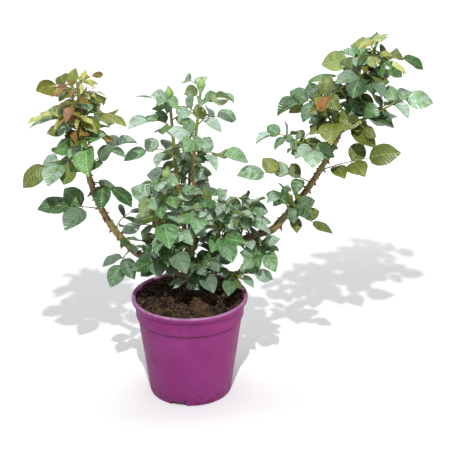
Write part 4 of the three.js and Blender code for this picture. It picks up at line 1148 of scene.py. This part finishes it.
for mass in masses:
    count = round(mass["leaves"] * FINER_BY_MASS.get(mass["name"], FINER))
    draw = seeded(mass["seed"] + FINER_SEED)
    tints = FINER_TINTS.get(mass["name"], mass["tints"]).split()
    within = tips_of(mass["grown"])
    finer = []
    for i in range(count):
        share = lerp(*FINER_ENDS, (i + draw()) / count)
        heading = mass["spin"] + FINER_SPIN[0] + i * GOLDEN_TURN + jitter(draw, FINER_SPIN[1])
        rise = mass["lift"] + FINER_LIFT[0] + jitter(draw, FINER_LIFT[1])
        stalk = mass["stalk"] * by_chance(draw, *FINER_STALKS)
        size = mass["size"] * by_chance(draw, *FINER_SIZES) * (1 - TIP_SHRINK * share)
        tint = tints[min(len(tints) - 1, int(len(tints) * (share if mass["twigs"] else draw())))]
        leaf = grow_leaf(along(mass["stem"], share), mass, draw, heading, rise, stalk, size, tint)
        tips = tips_of([leaf])
        if (tips > within.min(0)).all() and (tips < within.max(0)).all():
            finer.append(dict(leaf, roll=FINER_ROLL))
    mass["grown"] += keep_clear(mass, finer, **FINER_ROOM)[0]

# Single leaves straight on the bark of the shoots and canes, which fill the low middle of the bush.
# They belong to a mass near by, so that they may stand close to its leaves.
ON_SHOOTS = (  # limb, the shares of it between which they grow, how many, their size, their mass
    ("middle_shoot", 0.1, 0.6, 9, 30, "middle_low_leaves"),
    ("right_cane_foot", 0.06, 0.9, 14, 30, "middle_right_leaves"),
    ("front_shoot", 0.08, 0.8, 8, 28, "front_low_leaves"),
    ("left_shoot", 0.05, 0.7, 7, 30, "left_shoot_leaves"),
    ("left_cane_foot", 0.1, 0.9, 7, 25, "front_low_leaves"),
    ("left_cane", 0.02, 0.3, 3, 22, "front_low_leaves"),
)
SHOOT_LEAF_SEED = 31
SHOOT_LEAF_SPREAD = 30
SHOOT_LEAF_UP = 0.3  # how far they start upwards, per unit outwards
SHOOT_LEAF_CLEAR = (1.45, 2)  # radii of the limb, and mm more, at which they begin to keep clear
SHOOT_LEAF_RISE = (15, 25)  # and how far it varies
SHOOT_LEAF_STALK = (20, 8)
SHOOT_LEAF_SIZES = (0.85, 0.3)
SHOOT_LEAF_ROLL = 50
for limb_name, lower, upper, count, size, joined in ON_SHOOTS:
    mass, limb = next(mass for mass in masses if mass["name"] == joined), limbs[limb_name]
    draw = seeded(size * SHOOT_LEAF_SEED + count)
    tints = mass["tints"].split() + ["deep"]
    more = []
    for i in range(count):
        share = lerp(lower, upper, i / count)
        foot, ahead = along(limb["points"], share), direction(limb["points"], share)
        heading = i * GOLDEN_TURN + jitter(draw, SHOOT_LEAF_SPREAD)
        way = squared(towards(heading, 0) + UP * SHOOT_LEAF_UP, ahead)
        start = foot + way * (lerp(*limb["radius"], share) * SHOOT_LEAF_CLEAR[0] + SHOOT_LEAF_CLEAR[1])
        rise = SHOOT_LEAF_RISE[0] + jitter(draw, SHOOT_LEAF_RISE[1])
        stalk = SHOOT_LEAF_STALK[0] + jitter(draw, SHOOT_LEAF_STALK[1])
        leaf = grow_leaf(start, mass, draw, heading, rise, stalk, size * by_chance(draw, *SHOOT_LEAF_SIZES),
                         tints[i % len(tints)])
        more.append(dict(leaf, roll=SHOOT_LEAF_ROLL, foot=foot))
    more, _ = keep_clear(mass, more, **FINER_ROOM)
    mass["grown"] += [dict(leaf, points=np.vstack([leaf["foot"], leaf["points"]])) for leaf in more]

# The wood and the green stems are one continuous growth: a line runs on from a limb to the limb or
# stem that starts at its end, but the thick old stem ends in itself. It was pruned long ago and keeps
# the stubs.
RUNS_ON = {row["on"]: row["name"] for row in LIMBS[1:] if row["at"] == 1 and row["on"] != "main_stem"}
AGES = {  # from 0 for old wood to 1 for a green shoot
    "left_cane_foot": 0.05, "left_cane": 0.3, "right_cane_foot": 0.05, "right_cane": 0.25,
    "front_shoot": 0.45, "left_shoot": 0.55, "middle_shoot": 0.5, "low_twig": 0.5, "back_shoot": 0.5}
STEM_AGES = (0.6, 1)  # of a stem that starts along a limb, from foot to tip
STALK_AGE = 0.9
STEM_BURIED = (14, 12)  # how far the old stem goes down into the compost, and its radius there
STEM_SLIM = 0.86  # share of its radius that leaves room for the ridges and scars
STUBS = (  # heading, rise, share of the old stem, length, radius
    (150, 50, 0.35, 20, 6), (-20, 62, 0.75, 22, 5.5), (-110, 40, 0.12, 17, 5))
STUB_GIRTHS = np.array([1.25, 1, 0.95, 0.8])
THICK = 2.4  # radius over which a stem is swept with the canes
TWIG_SLIM = 0.9
STALK_GIRTHS = (1.15, 0.55)
STALKLET = (0.09, (0.6, 0.45))  # length of a leaflet's own stalk, as a share of the leaflet, and radii


def with_more(line, points, radii, ages):
    """A line of points, radii and ages that runs on into another, which starts at its end."""
    return tuple(np.concatenate([own, more[1:]]) for own, more in zip(line, (points, radii, ages)))


stem_at_end = {mass["on"]: mass for mass in masses if mass["at"] == 1}
thick, thin = [], []
for name, limb in limbs.items():
    if name == "main_stem" or name in RUNS_ON.values():
        continue
    line = (limb["points"], limb["radii"], np.full(len(limb["points"]), AGES[name]))
    while name in RUNS_ON:
        name = RUNS_ON[name]
        points = limbs[name]["points"]
        line = with_more(line, points, limbs[name]["radii"], np.full(len(points), AGES[name]))
    if name in stem_at_end:
        stem, radii = stem_at_end[name]["stem"], stem_radii(stem_at_end[name])
        line = with_more(line, stem, radii, np.linspace(AGES[name], 1, len(stem)))
    thick.append(line)
trunk = limbs["main_stem"]
buried, foot_radius = STEM_BURIED
foot = trunk["points"][0] - direction(trunk["points"], 0) * buried
old_stem = [(np.vstack([foot, trunk["points"]]), np.array([foot_radius, *trunk["radii"] * STEM_SLIM]), 0)]
for heading, rise, share, length, radius in STUBS:
    stub = arc(along(trunk["points"], share), len(STUB_GIRTHS) - 1, heading, rise, length)
    old_stem.append((stub, radius * STUB_GIRTHS, 0))
for mass in masses:
    stalks = [(leaf["points"], leaf["leaflets"]) for leaf in mass["grown"]]
    if not mass["leaves"]:
        stalks.append((mass["stem"], mass["own"]))
    elif mass["at"] != 1:
        line = (mass["stem"], stem_radii(mass), np.linspace(*STEM_AGES, len(mass["stem"])))
        (thick if mass["radius"][0] > THICK else thin).append(line)
    thin.extend((points, mass["radius"][1] * TWIG_SLIM, 1) for points in mass["twig_lines"])
    for points, leaflets in stalks:
        thin.append((points, np.linspace(*STALK_GIRTHS, len(points)), STALK_AGE))
        for leaflet in leaflets:
            ends = np.array([leaflet["root"], on_leaflet(leaflet, STALKLET[0])])
            thin.append((ends, np.array(STALKLET[1]), STALK_AGE))

limb_names, mass_names = ([row["name"] for row in rows] for rows in (LIMBS, MASSES))
for name, chains, sides, spacing, scar, swelling, relief, width in (
        # spacing of rings and of scars, how much they swell the bark, height and width of its ridges
        ("old_stem", old_stem, 40, 1.6, 17, 0.16, 3.4, 6),
        ("canes_and_shoots", thick, 16, 2.6, 27, 0.14, 0.7, 2.4),
        ("twigs_and_stalks", thin, 6, 5, 60, 0.2, 0.15, 1.5)):
    wood = make(name, lines_mesh(name, chains), sweep, {
        "Sides": sides, "Ring spacing": spacing * MM, "Scar spacing": scar * MM, "Swelling": swelling,
        "Relief": relief * MM, "Ridge width": width * MM, "Finish": rose_bark})
    smooth(wood.data, 60)
    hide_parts(*limb_names, *mass_names)
    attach(wood, "root")

# The prickles: hooked horny growths of the skin, red-brown, broad at the foot along
# the cane and pointing back down it. Besides those of the rule there are small ones between them.
PRICKLE_LEVELS = (  # height, half length, half width and lean of each ring, as shares of the height
    (-0.12, 0.62, 0.2, 0.05), (0.1, 0.4, 0.13, 0), (0.35, 0.24, 0.08, -0.09), (0.7, 0.11, 0.045, -0.26))
PRICKLE_TIP = (-0.44, 0, 1)
PRICKLE_SIDES = 7
PRICKLE_SUNK = 0.95  # of the limb's radius, where its foot stands
PRICKLE_DRAWN_OUT = 1.25  # length of the rule's prickles with their tips
SMALL_PRICKLES = 3  # for each of the rule's
SMALL_SEED = 17
SMALL_ENDS = (0.05, 0.97)  # shares of the limb between which they stand
SMALL_SPIN = 80
SMALL_LENGTHS = (3, 4.6)
HORN_COLOURS = ("#5c2016", "#94402c")

# Sets shapes out at points that carry their facing, their size and which shape.
set_out, given, out = new_maker("set_out", {
    "Shapes": "Collection", "Upper": "Material", "Lower": "Material"})
facing, size, form, under = (
    add_node(set_out, "GeometryNodeInputNamedAttribute", {"Name": kept}, data_type=kind)
    for kept, kind in (("facing", "QUATERNION"), ("size", "FLOAT_VECTOR"), ("form", "INT"),
                       ("under", "BOOLEAN")))
shapes = add_node(set_out, "GeometryNodeCollectionInfo", {
    "Collection": given["Shapes"], "Separate Children": True, "Reset Children": True})
standing = add_node(set_out, "GeometryNodeInstanceOnPoints", {
    "Points": given["Geometry"], "Instance": shapes, "Pick Instance": True, "Instance Index": form,
    "Rotation": facing, "Scale": size})
set_inputs(out, {0: add_node(set_out, "GeometryNodeSetMaterial", {
    "Geometry": with_finish(set_out, standing, given["Upper"]), "Selection": under,
    "Material": given["Lower"]})})


def points_mesh(name, rows):
    """Points for setting out, from (place, way, across, up, size, form, tone, share of painted sheen), in mm.
    """
    places, ways, acrosses, ups, sizes, forms, tones, sheen_shares = zip(*rows)
    mesh = new_mesh(name, [place * MM for place in places], [])
    turns = [Matrix([tuple(side) for side in sides]).transposed().to_quaternion()
             for sides in zip(ways, acrosses, ups)]
    for label, kind, values in (
            ("facing", "QUATERNION", np.array(turns).ravel()),
            ("size", "FLOAT_VECTOR", np.array(sizes).ravel() * MM),
            ("form", "INT", forms), ("tone", "FLOAT", tones), ("bloom", "FLOAT", sheen_shares)):
        layer = mesh.attributes.new(label, kind, "POINT")
        layer.data.foreach_set("vector" if kind == "FLOAT_VECTOR" else "value", values)
    return mesh


def prickle_shape():
    """A hook 1 high: an oval foot drawn along the cane, and a tip that leans back."""
    n, rings, faces = PRICKLE_SIDES, len(PRICKLE_LEVELS), []
    points = [(lean + half_long * math.cos(turn), half_wide * math.sin(turn), height)
              for height, half_long, half_wide, lean in PRICKLE_LEVELS for turn in around(n)]
    points.append(PRICKLE_TIP)
    for ring in range(rings - 1):
        for k in range(n):
            a, b = ring * n + k, ring * n + (k + 1) % n
            faces.append((a, b, b + n, a + n))
    top = (rings - 1) * n
    faces.extend((top + k, top + (k + 1) % n, top + n) for k in range(n))
    faces.append(tuple(range(n - 1, -1, -1)))
    mesh = new_mesh("prickle", points, faces)
    mesh.shade_smooth()
    return mesh


def prickle_row(root, ahead, out, radius, length, tone):
    return root + out * radius * PRICKLE_SUNK, ahead, np.cross(out, ahead), out, (length,) * 3, 0, tone, 0


prickle_rows = [prickle_row(*spine, length * PRICKLE_DRAWN_OUT, 0.5) for *spine, length in spines]
for limb in limbs.values():
    count = SMALL_PRICKLES * limb.get("prickles", 0)
    draw = seeded(len(limb["name"]) * SMALL_SEED + count)
    for i in range(count):
        share = lerp(*SMALL_ENDS, (i + draw()) / count)
        root, ahead = along(limb["points"], share), direction(limb["points"], share)
        prickle_rows.append(prickle_row(
            root, ahead, out_of(ahead, SMALL_SPIN + i * GOLDEN_TURN), lerp(*limb["radius"], share),
            by_chance(draw, *SMALL_LENGTHS), draw()))

# Horn: like a finger nail, smooth and half glossy, in mottled red-browns.
horn, tree, shader, here = new_finish("prickle_horn", {"Roughness": 0.38, "IOR": 1.54})
set_inputs(shader, {"Base Color": mottled(tree, here, 6, (0.38, 0.62), HORN_COLOURS),
                    "Normal": grain(tree, here, 0.7, 2, 0.3, 0.15)})
prickles = make("prickles", points_mesh("prickles", prickle_rows), set_out, {
    "Upper": horn, "Lower": horn}, [prickle_shape()])
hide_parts(*limb_names)
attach(prickles, "root")

# The leaflets: oval, pointed and finely toothed, folded a little along the midrib, with the upper
# side waxy and the underside matt. Each is a thin closed blade, and eight shapes are dealt out.
LEAF_STATIONS = (0.1, 0.24, 0.39, 0.55, 0.71, 0.86)
LEAF_OUTLINE = ((0, 0), (0.04, 0.17), (0.1, 0.31), (0.24, 0.455), (0.39, 0.5), (0.55, 0.475), (0.71, 0.375),
                (0.86, 0.2), (0.94, 0.085), (1, 0))
LEAF_MIDDLE = 0.52  # where a half blade bends between rib and margin, as a share of its breadth
LEAF_TOOTH = (0.014, 1.3)  # how far teeth stand out, and how that falls off to the tip
TOOTH_PLACE = (0.7, 0.01)  # a share of the way between stations, and a little on to the tip
LEAF_RIB = 0.01  # thickness at the midrib, as a share of length
LEAF_WAVES = (11, 2)  # along and across the blade
LEAF_UNTWISTED = 0.4  # share of the length where a twisted blade is level
LEAF_SHAPES = (  # arch of the midrib, fold of the halves, curl of the margins, their waves, twist
    (0.07, 0.16, 0.02, 0.012, 0.05), (0.13, -0.12, 0.03, 0.016, -0.12), (0.03, 0.42, 0, 0.02, 0.1),
    (0.17, -0.02, 0.07, 0.01, 0.02), (0.1, 0.6, 0.04, 0.014, -0.06), (0.12, 0.2, 0.08, 0.022, 0.3),
    (0.15, -0.3, 0.02, 0.012, -0.2), (0.1, 0.3, 0.1, 0.018, -0.28),
)


def leaf_shape(number, arch, fold, curl, wave, twist):
    """A leaflet 1 long and 1 broad."""
    points, on_blade, faces, under = [], [], [], []

    def add(along_rib, side, lift=0.0):
        reach = abs(side) * 2
        high = arch * 4 * along_rib * (1 - along_rib) + fold * abs(side) - curl * reach ** 3
        high += wave * reach ** 2 * math.sin(along_rib * LEAF_WAVES[0] + LEAF_WAVES[1] * side + number)
        high += twist * (along_rib - LEAF_UNTWISTED) * side
        points.append((along_rib, side, high + lift))
        on_blade.append((side + 0.5, along_rib))
        return len(points) - 1

    def half(along_rib):
        return float(np.interp(along_rib, *zip(*LEAF_OUTLINE)))

    root, tip = add(0, 0), add(1, 0)
    ribs = {face: [root, *(add(s, 0, face * LEAF_RIB / 2) for s in LEAF_STATIONS), tip] for face in (1, -1)}
    stations = [0, *LEAF_STATIONS, 1]
    for side in (1, -1):
        margin = [root, *(add(s, side * half(s)) for s in LEAF_STATIONS), tip]
        teeth = []
        for a, b in zip(stations, stations[1:]):
            s = a + TOOTH_PLACE[0] * (b - a)
            teeth.append(add(s + TOOTH_PLACE[1], side * (half(s) + LEAF_TOOTH[0] * (LEAF_TOOTH[1] - s))))
        for face in (1, -1):
            middle = [root, *(add(s, side * half(s) * LEAF_MIDDLE, face * LEAF_RIB / 3)
                              for s in LEAF_STATIONS), tip]
            for i, tooth in enumerate(teeth):
                a, b, c, d = middle[i], middle[i + 1], margin[i + 1], margin[i]
                for corners in ((ribs[face][i], ribs[face][i + 1], b, a), (a, b, c), (a, c, tooth, d)):
                    loop = [point for k, point in enumerate(corners) if point != corners[k - 1]]
                    if len(loop) >= 3:
                        faces.append(loop if side * face > 0 else [loop[0], *loop[:0:-1]])
                        under.append(face < 0)
    mesh = new_mesh(f"leaflet_{number}", points, faces)
    smooth(mesh, 80)
    mesh.attributes.new("under", "BOOLEAN", "FACE").data.foreach_set("value", under)
    blade = mesh.uv_layers.new(name="blade")
    for corner in mesh.loops:
        blade.data[corner.index].uv = on_blade[corner.vertex_index]
    return mesh


# Rose leaf: green skin over a paler flesh, with painted sheen in pale patches between the veins. Above it
# shines, with sunk veins and quilting between them. Beneath it is matt, with raised pale veins and less
# painted sheen.
SHEEN_PALE = "#adc1b1"
TINTS = {  # upper side young and old, underside young and old, veins, and painted sheen of each tint of leaf
    "deep": ("#3a6026", "#22481e", "#6c7536", "#586536", "#7c9a5c", 0.3),
    "bloomed": ("#5a803e", "#365e2c", "#808a40", "#68763a", "#8fae78", 0.85),
    "fresh": ("#64904a", "#44763a", "#8d9c4a", "#70863c", "#a2bd80", 0.65),
    "silvered": ("#769a64", "#567e4e", "#8a9654", "#6f8046", "#a9c096", 0.95),
    "olive": ("#76802f", "#526222", "#80802c", "#646a26", "#98a04c", 0.05),
    "bronze": ("#8c7a30", "#7e4c22", "#9a7c36", "#865a30", "#b09048", 0.08),
    "young": ("#b8b85e", "#9aa044", "#bcb060", "#a39c4c", "#ccc888", 0.2),
}
UNDER_SHEEN = 0.3  # share of the upper side's painted sheen
VEIN_SLANT = -0.62
VEIN_ORDER = 8  # veins in the length of a leaflet


def leaf_finish(name, young, old, pale, sheen_strength, upper):
    """The skin of one side of a leaf, from a younger to an older colour."""
    finish, tree, shader, here = new_finish(name, {"IOR": 1.5} if upper else {"IOR": 1.36, "Roughness": 0.66})
    on_blade = add_node(tree, "ShaderNodeUVMap", uv_map="blade")
    blade = add_node(tree, "ShaderNodeSeparateXYZ", {0: on_blade}).outputs
    tone, more = (add_node(tree, "ShaderNodeAttribute", attribute_name=kept).outputs["Fac"]
                  for kept in ("tone", "bloom"))
    from_rib = add_node(tree, "ShaderNodeMath", {0: blade["X"], 1: -0.5}, operation="ADD")
    off_rib = add_node(tree, "ShaderNodeMath", {0: from_rib}, operation="ABSOLUTE")
    rib = add_node(tree, "ShaderNodeMapRange", {
        "Value": off_rib, "From Min": 0.01, "From Max": 0.03, "To Min": 0.7, "To Max": 0})
    slant = add_node(tree, "ShaderNodeMath", {
        0: off_rib, 1: VEIN_SLANT, 2: blade["Y"]}, operation="MULTIPLY_ADD")
    order = add_node(tree, "ShaderNodeMath", {0: slant, 1: VEIN_ORDER}, operation="MULTIPLY")
    off_vein = add_node(tree, "ShaderNodeMath", {0: order, 1: 0.5}, operation="PINGPONG")
    vein = add_node(tree, "ShaderNodeMapRange", {
        "Value": off_vein, "From Min": 0.02, "From Max": 0.13, "To Min": 0.3, "To Max": 0})
    veins = add_node(tree, "ShaderNodeMath", {0: rib, 1: vein}, operation="MAXIMUM")
    mottle = add_node(tree, "ShaderNodeTexNoise", {
        "Vector": here, "Scale": 1 / (6 * MM), "Detail": 5, "Roughness": 0.62})
    deeper = add_node(tree, "ShaderNodeMapRange", {
        "Value": mottle, "From Min": 0.32, "From Max": 0.68, "To Min": 0.55, "To Max": 1.4})
    ageing = add_node(tree, "ShaderNodeMix", {"Factor": tone, "A": young, "B": old}, data_type="RGBA")
    ground = add_node(tree, "ShaderNodeVectorMath", {0: ageing, "Scale": deeper}, operation="SCALE")
    veined = add_node(tree, "ShaderNodeMix", {"Factor": veins, "A": ground, "B": pale}, data_type="RGBA")
    own = add_node(tree, "ShaderNodeMath", {0: tone, 1: 40}, operation="MULTIPLY")
    drawn = add_node(tree, "ShaderNodeMath", {0: slant, 1: 3}, operation="MULTIPLY")
    along_veins = add_node(tree, "ShaderNodeCombineXYZ", {"X": blade["X"], "Y": drawn, "Z": own})
    # Painted sheen: pale patches drawn along the veins, stronger on some leaflets, stand in for the
    # reflection of the bright surround.
    sheen_patches = add_node(tree, "ShaderNodeTexNoise", {
        "Vector": along_veins, "Scale": 2.4, "Detail": 7, "Roughness": 0.62})
    sheen_level = add_node(tree, "ShaderNodeMath", {0: more, 1: 0.3, 2: sheen_patches}, operation="MULTIPLY_ADD")
    bloom = add_node(tree, "ShaderNodeMapRange", {
        "Value": sheen_level, "From Min": 0.56, "From Max": 0.8, "To Max": sheen_strength})
    unveined = add_node(tree, "ShaderNodeMath", {0: veins, 1: -0.8, 2: 1}, operation="MULTIPLY_ADD")
    quilt = add_node(tree, "ShaderNodeMath", {0: off_vein, 1: 0.6}, operation="POWER")
    rise = add_node(tree, "ShaderNodeMath", {0: veins, 1: -0.5, 2: quilt}, operation="MULTIPLY_ADD")
    fine = add_node(tree, "ShaderNodeMath", {0: mottle, 1: 0.5, 2: rise}, operation="MULTIPLY_ADD")
    relief = add_node(tree, "ShaderNodeBump", {
        "Height": fine, "Strength": 0.75, "Distance": 0.8 * MM}, invert=not upper)
    set_inputs(shader, {"Base Color": laid_over(tree, veined, SHEEN_PALE, bloom, unveined), "Normal": relief})
    if upper:
        set_inputs(shader, {"Roughness": add_node(tree, "ShaderNodeMapRange", {
            "Value": sheen_patches, "From Min": 0.35, "From Max": 0.65, "To Min": 0.44, "To Max": 0.25})})
    return finish


# Leaflets stand a little off the rule's: each rolls about its midrib by chance, some show their
# underside, and outer ones turn to the light in front.
ROLL = 26  # degrees that a leaflet may roll
TURNED_SHARE = 0.14  # of the leaflets show their underside
TURNED_BY = 130
UNGROWN = {"young": (0.74, 0.42), "bronze": (0.9, 0.56)}  # length and breadth of leaflets still opening
FACING = dict(left_outer_leaf=0.6, right_outer_leaf=0.7, right_crown_right=0.45, left_mid_leaf=0.5,
              right_inner_leaf=0.3)  # share by which leaflets turn to the front
FRONT = unit(np.array([0, -1, 0.4]))
LEAF_SEED = 77
LEAF_SEEDS = dict(  # for the masses whose leaflets roll in another order
    front_side_leaves=81, middle_low_leaves=81, left_low_leaf=79, low_front_leaf=79)
BLADE_FOOT = 0.06  # share of a leaflet where its blade starts
BLADE_LENGTH = 0.96
BUD_ROOM = 15  # round a bud, which its own leaves leave open
BUD_MIDDLE = 1.7  # radii above the tip of the stem
leaf_rows = {tint: [] for tint in TINTS}
for mass in masses:
    draw = seeded(mass["seed"] + LEAF_SEEDS.get(mass["name"], LEAF_SEED))
    bud = mass["stem"][-1] + direction(mass["stem"], 1) * mass["bud"] * BUD_MIDDLE
    leaflets = [(one, ROLL) for one in mass["own"]]
    leaflets += [(one, leaf.get("roll", ROLL)) for leaf in mass["grown"] for one in leaf["leaflets"]]
    for leaflet, roll in leaflets:
        way, turn = leaflet["way"], jitter(draw, roll)
        if draw() < TURNED_SHARE:
            turn += TURNED_BY
        elif mass["name"] in FACING:
            front = squared(FRONT, way)
            aside = math.degrees(math.atan2(np.cross(leaflet["up"], front) @ way, leaflet["up"] @ front))
            turn = lerp(turn, aside, FACING[mass["name"]])
        if mass["bud"] and np.linalg.norm(on_leaflet(leaflet, 0.5) - bud) < BUD_ROOM:
            continue
        grown_to, filled_to = UNGROWN.get(leaflet["tint"], (1, 1))
        length = leaflet["length"] * BLADE_LENGTH * grown_to
        size = (length, leaflet["breadth"] * filled_to, length)
        across, up = (swung(side, way, turn) for side in (leaflet["across"], leaflet["up"]))
        form = int(draw() * len(LEAF_SHAPES))
        leaf_rows[leaflet["tint"]].append((
            on_leaflet(leaflet, BLADE_FOOT), way, across, up, size, form, draw(), draw()))
leaf_shapes = [leaf_shape(number, *shape) for number, shape in enumerate(LEAF_SHAPES)]
for tint, (young, old, under_young, under_old, pale, sheen_strength) in TINTS.items():
    upper = leaf_finish(f"leaf_upper_{tint}", young, old, pale, sheen_strength, upper=True)
    lower = leaf_finish(f"leaf_under_{tint}", under_young, under_old, pale, sheen_strength * UNDER_SHEEN, upper=False)
    leaves = make(f"leaves_{tint}", points_mesh(tint, leaf_rows[tint]), set_out, {
        "Upper": upper, "Lower": lower}, leaf_shapes)
    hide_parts(*mass_names)
    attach(leaves, "root")

# The buds: three at the tips of the shoots, still closed. Each is a small green hip and five sepals
# folded over the petals, drawn out into fine tips.
BUD_SIDES = 20
BUD_TALL = 3.4  # height per unit of radius
BUD_PROFILE = (  # share of height, share of radius
    (-0.12, 0.3), (0, 0.42), (0.08, 0.66), (0.16, 0.74), (0.23, 0.68), (0.27, 0.66), (0.36, 0.86),
    (0.48, 1), (0.6, 0.93), (0.74, 0.68), (0.87, 0.36), (0.96, 0.13), (1, 0.03))
BUD_FLUTES = 0.06  # how far the five petals swell the bud
SEPALS = 5
SEPAL_ROWS = (  # share of height, half width, how far it stands off
    (0.25, 0.75, 1.02), (0.36, 0.9, 1.07), (0.48, 0.86, 1.06), (0.6, 0.74, 1.06), (0.74, 0.56, 1.06),
    (0.87, 0.36, 1.08), (0.97, 0.16, 1.2), (1.06, 0.07, 1.6))
SEPAL_BREADTH = 0.6
SEPAL_FACES = (  # inner and outer: share of the stand-off, more of it, share of the width, sides
    (0.98, 0, 1, (-1, 0, 1)), (1, 0.09, 0.9, (1, 0, -1)))
SEPAL_LEAST = (0.14, 0.3)  # girth of the bud, at least, for how far out a tip stands and how broad it is
SEPAL_FLARE = (0.95, 0.1)  # above that height a tip stands out by so much
BUD_GREENS = ("#6f9446", "#9dbb72")


def bud_mesh(buds):
    """All buds in one mesh, from (tip of the stem, its direction, radius)."""
    points, faces = [], []
    heights, reaches = zip(*BUD_PROFILE)
    for foot, ahead, radius in buds:
        across = squared(np.array([1.0, 0.2, 0]), ahead)
        beside = np.cross(ahead, across)

        def put(height, reach, turn):
            side = across * math.cos(turn) + beside * math.sin(turn)
            points.append((foot + ahead * height * (radius * BUD_TALL) + side * reach * radius) * MM)
            return len(points) - 1

        rings = [[put(height, reach * (1 + BUD_FLUTES * math.cos(SEPALS * turn)), turn)
                  for turn in around(BUD_SIDES)] for height, reach in BUD_PROFILE]
        for low, high in zip(rings, rings[1:]):
            faces.extend((low[k - 1], low[k], high[k], high[k - 1]) for k in range(BUD_SIDES))
        faces.extend((rings[0][::-1], rings[-1]))
        for i in range(SEPALS):
            middle_turn = (i + 0.5) * 2 * math.pi / SEPALS
            rows = []
            for height, half, off_bud in SEPAL_ROWS:
                girth = max(float(np.interp(height, heights, reaches)), SEPAL_LEAST[0])
                half_turn = half * SEPAL_BREADTH / max(girth, SEPAL_LEAST[1])
                flare = SEPAL_FLARE[1] if height > SEPAL_FLARE[0] else 0
                rows.append([
                    put(height, girth * off_bud * close + more + flare,
                        middle_turn + half_turn * side * breadth)
                    for close, more, breadth, sides in SEPAL_FACES for side in sides])
            for low, high in zip(rows, rows[1:]):
                faces.extend((low[k], low[k - 1], high[k - 1], high[k]) for k in range(len(low)))
            faces.extend((rows[0], rows[-1][::-1]))
    return new_mesh("flower_buds", points, faces)


# Bud skin: soft green in mottled shades, finely downy.
bud_skin, tree, shader, here = new_finish("bud_skin", {"Roughness": 0.6, "Sheen Weight": 0.3, "IOR": 1.4})
set_inputs(shader, {"Base Color": mottled(tree, here, 4, (0.35, 0.65), BUD_GREENS, detail=4),
                    "Normal": grain(tree, here, 0.6, 2, 0.3, 0.2)})
in_bud = [mass for mass in masses if mass["bud"]]
buds = new_piece("flower_buds", bud_mesh(
    [(mass["stem"][-1], direction(mass["stem"], 1), mass["bud"]) for mass in in_bud]), bud_skin)
smooth(buds.data, 50)
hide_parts(*[mass["name"] for mass in in_bud])
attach(buds, "root")

visual_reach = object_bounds()
[[list(corner) for corner in reach] for reach in (solids_reach, visual_reach)]
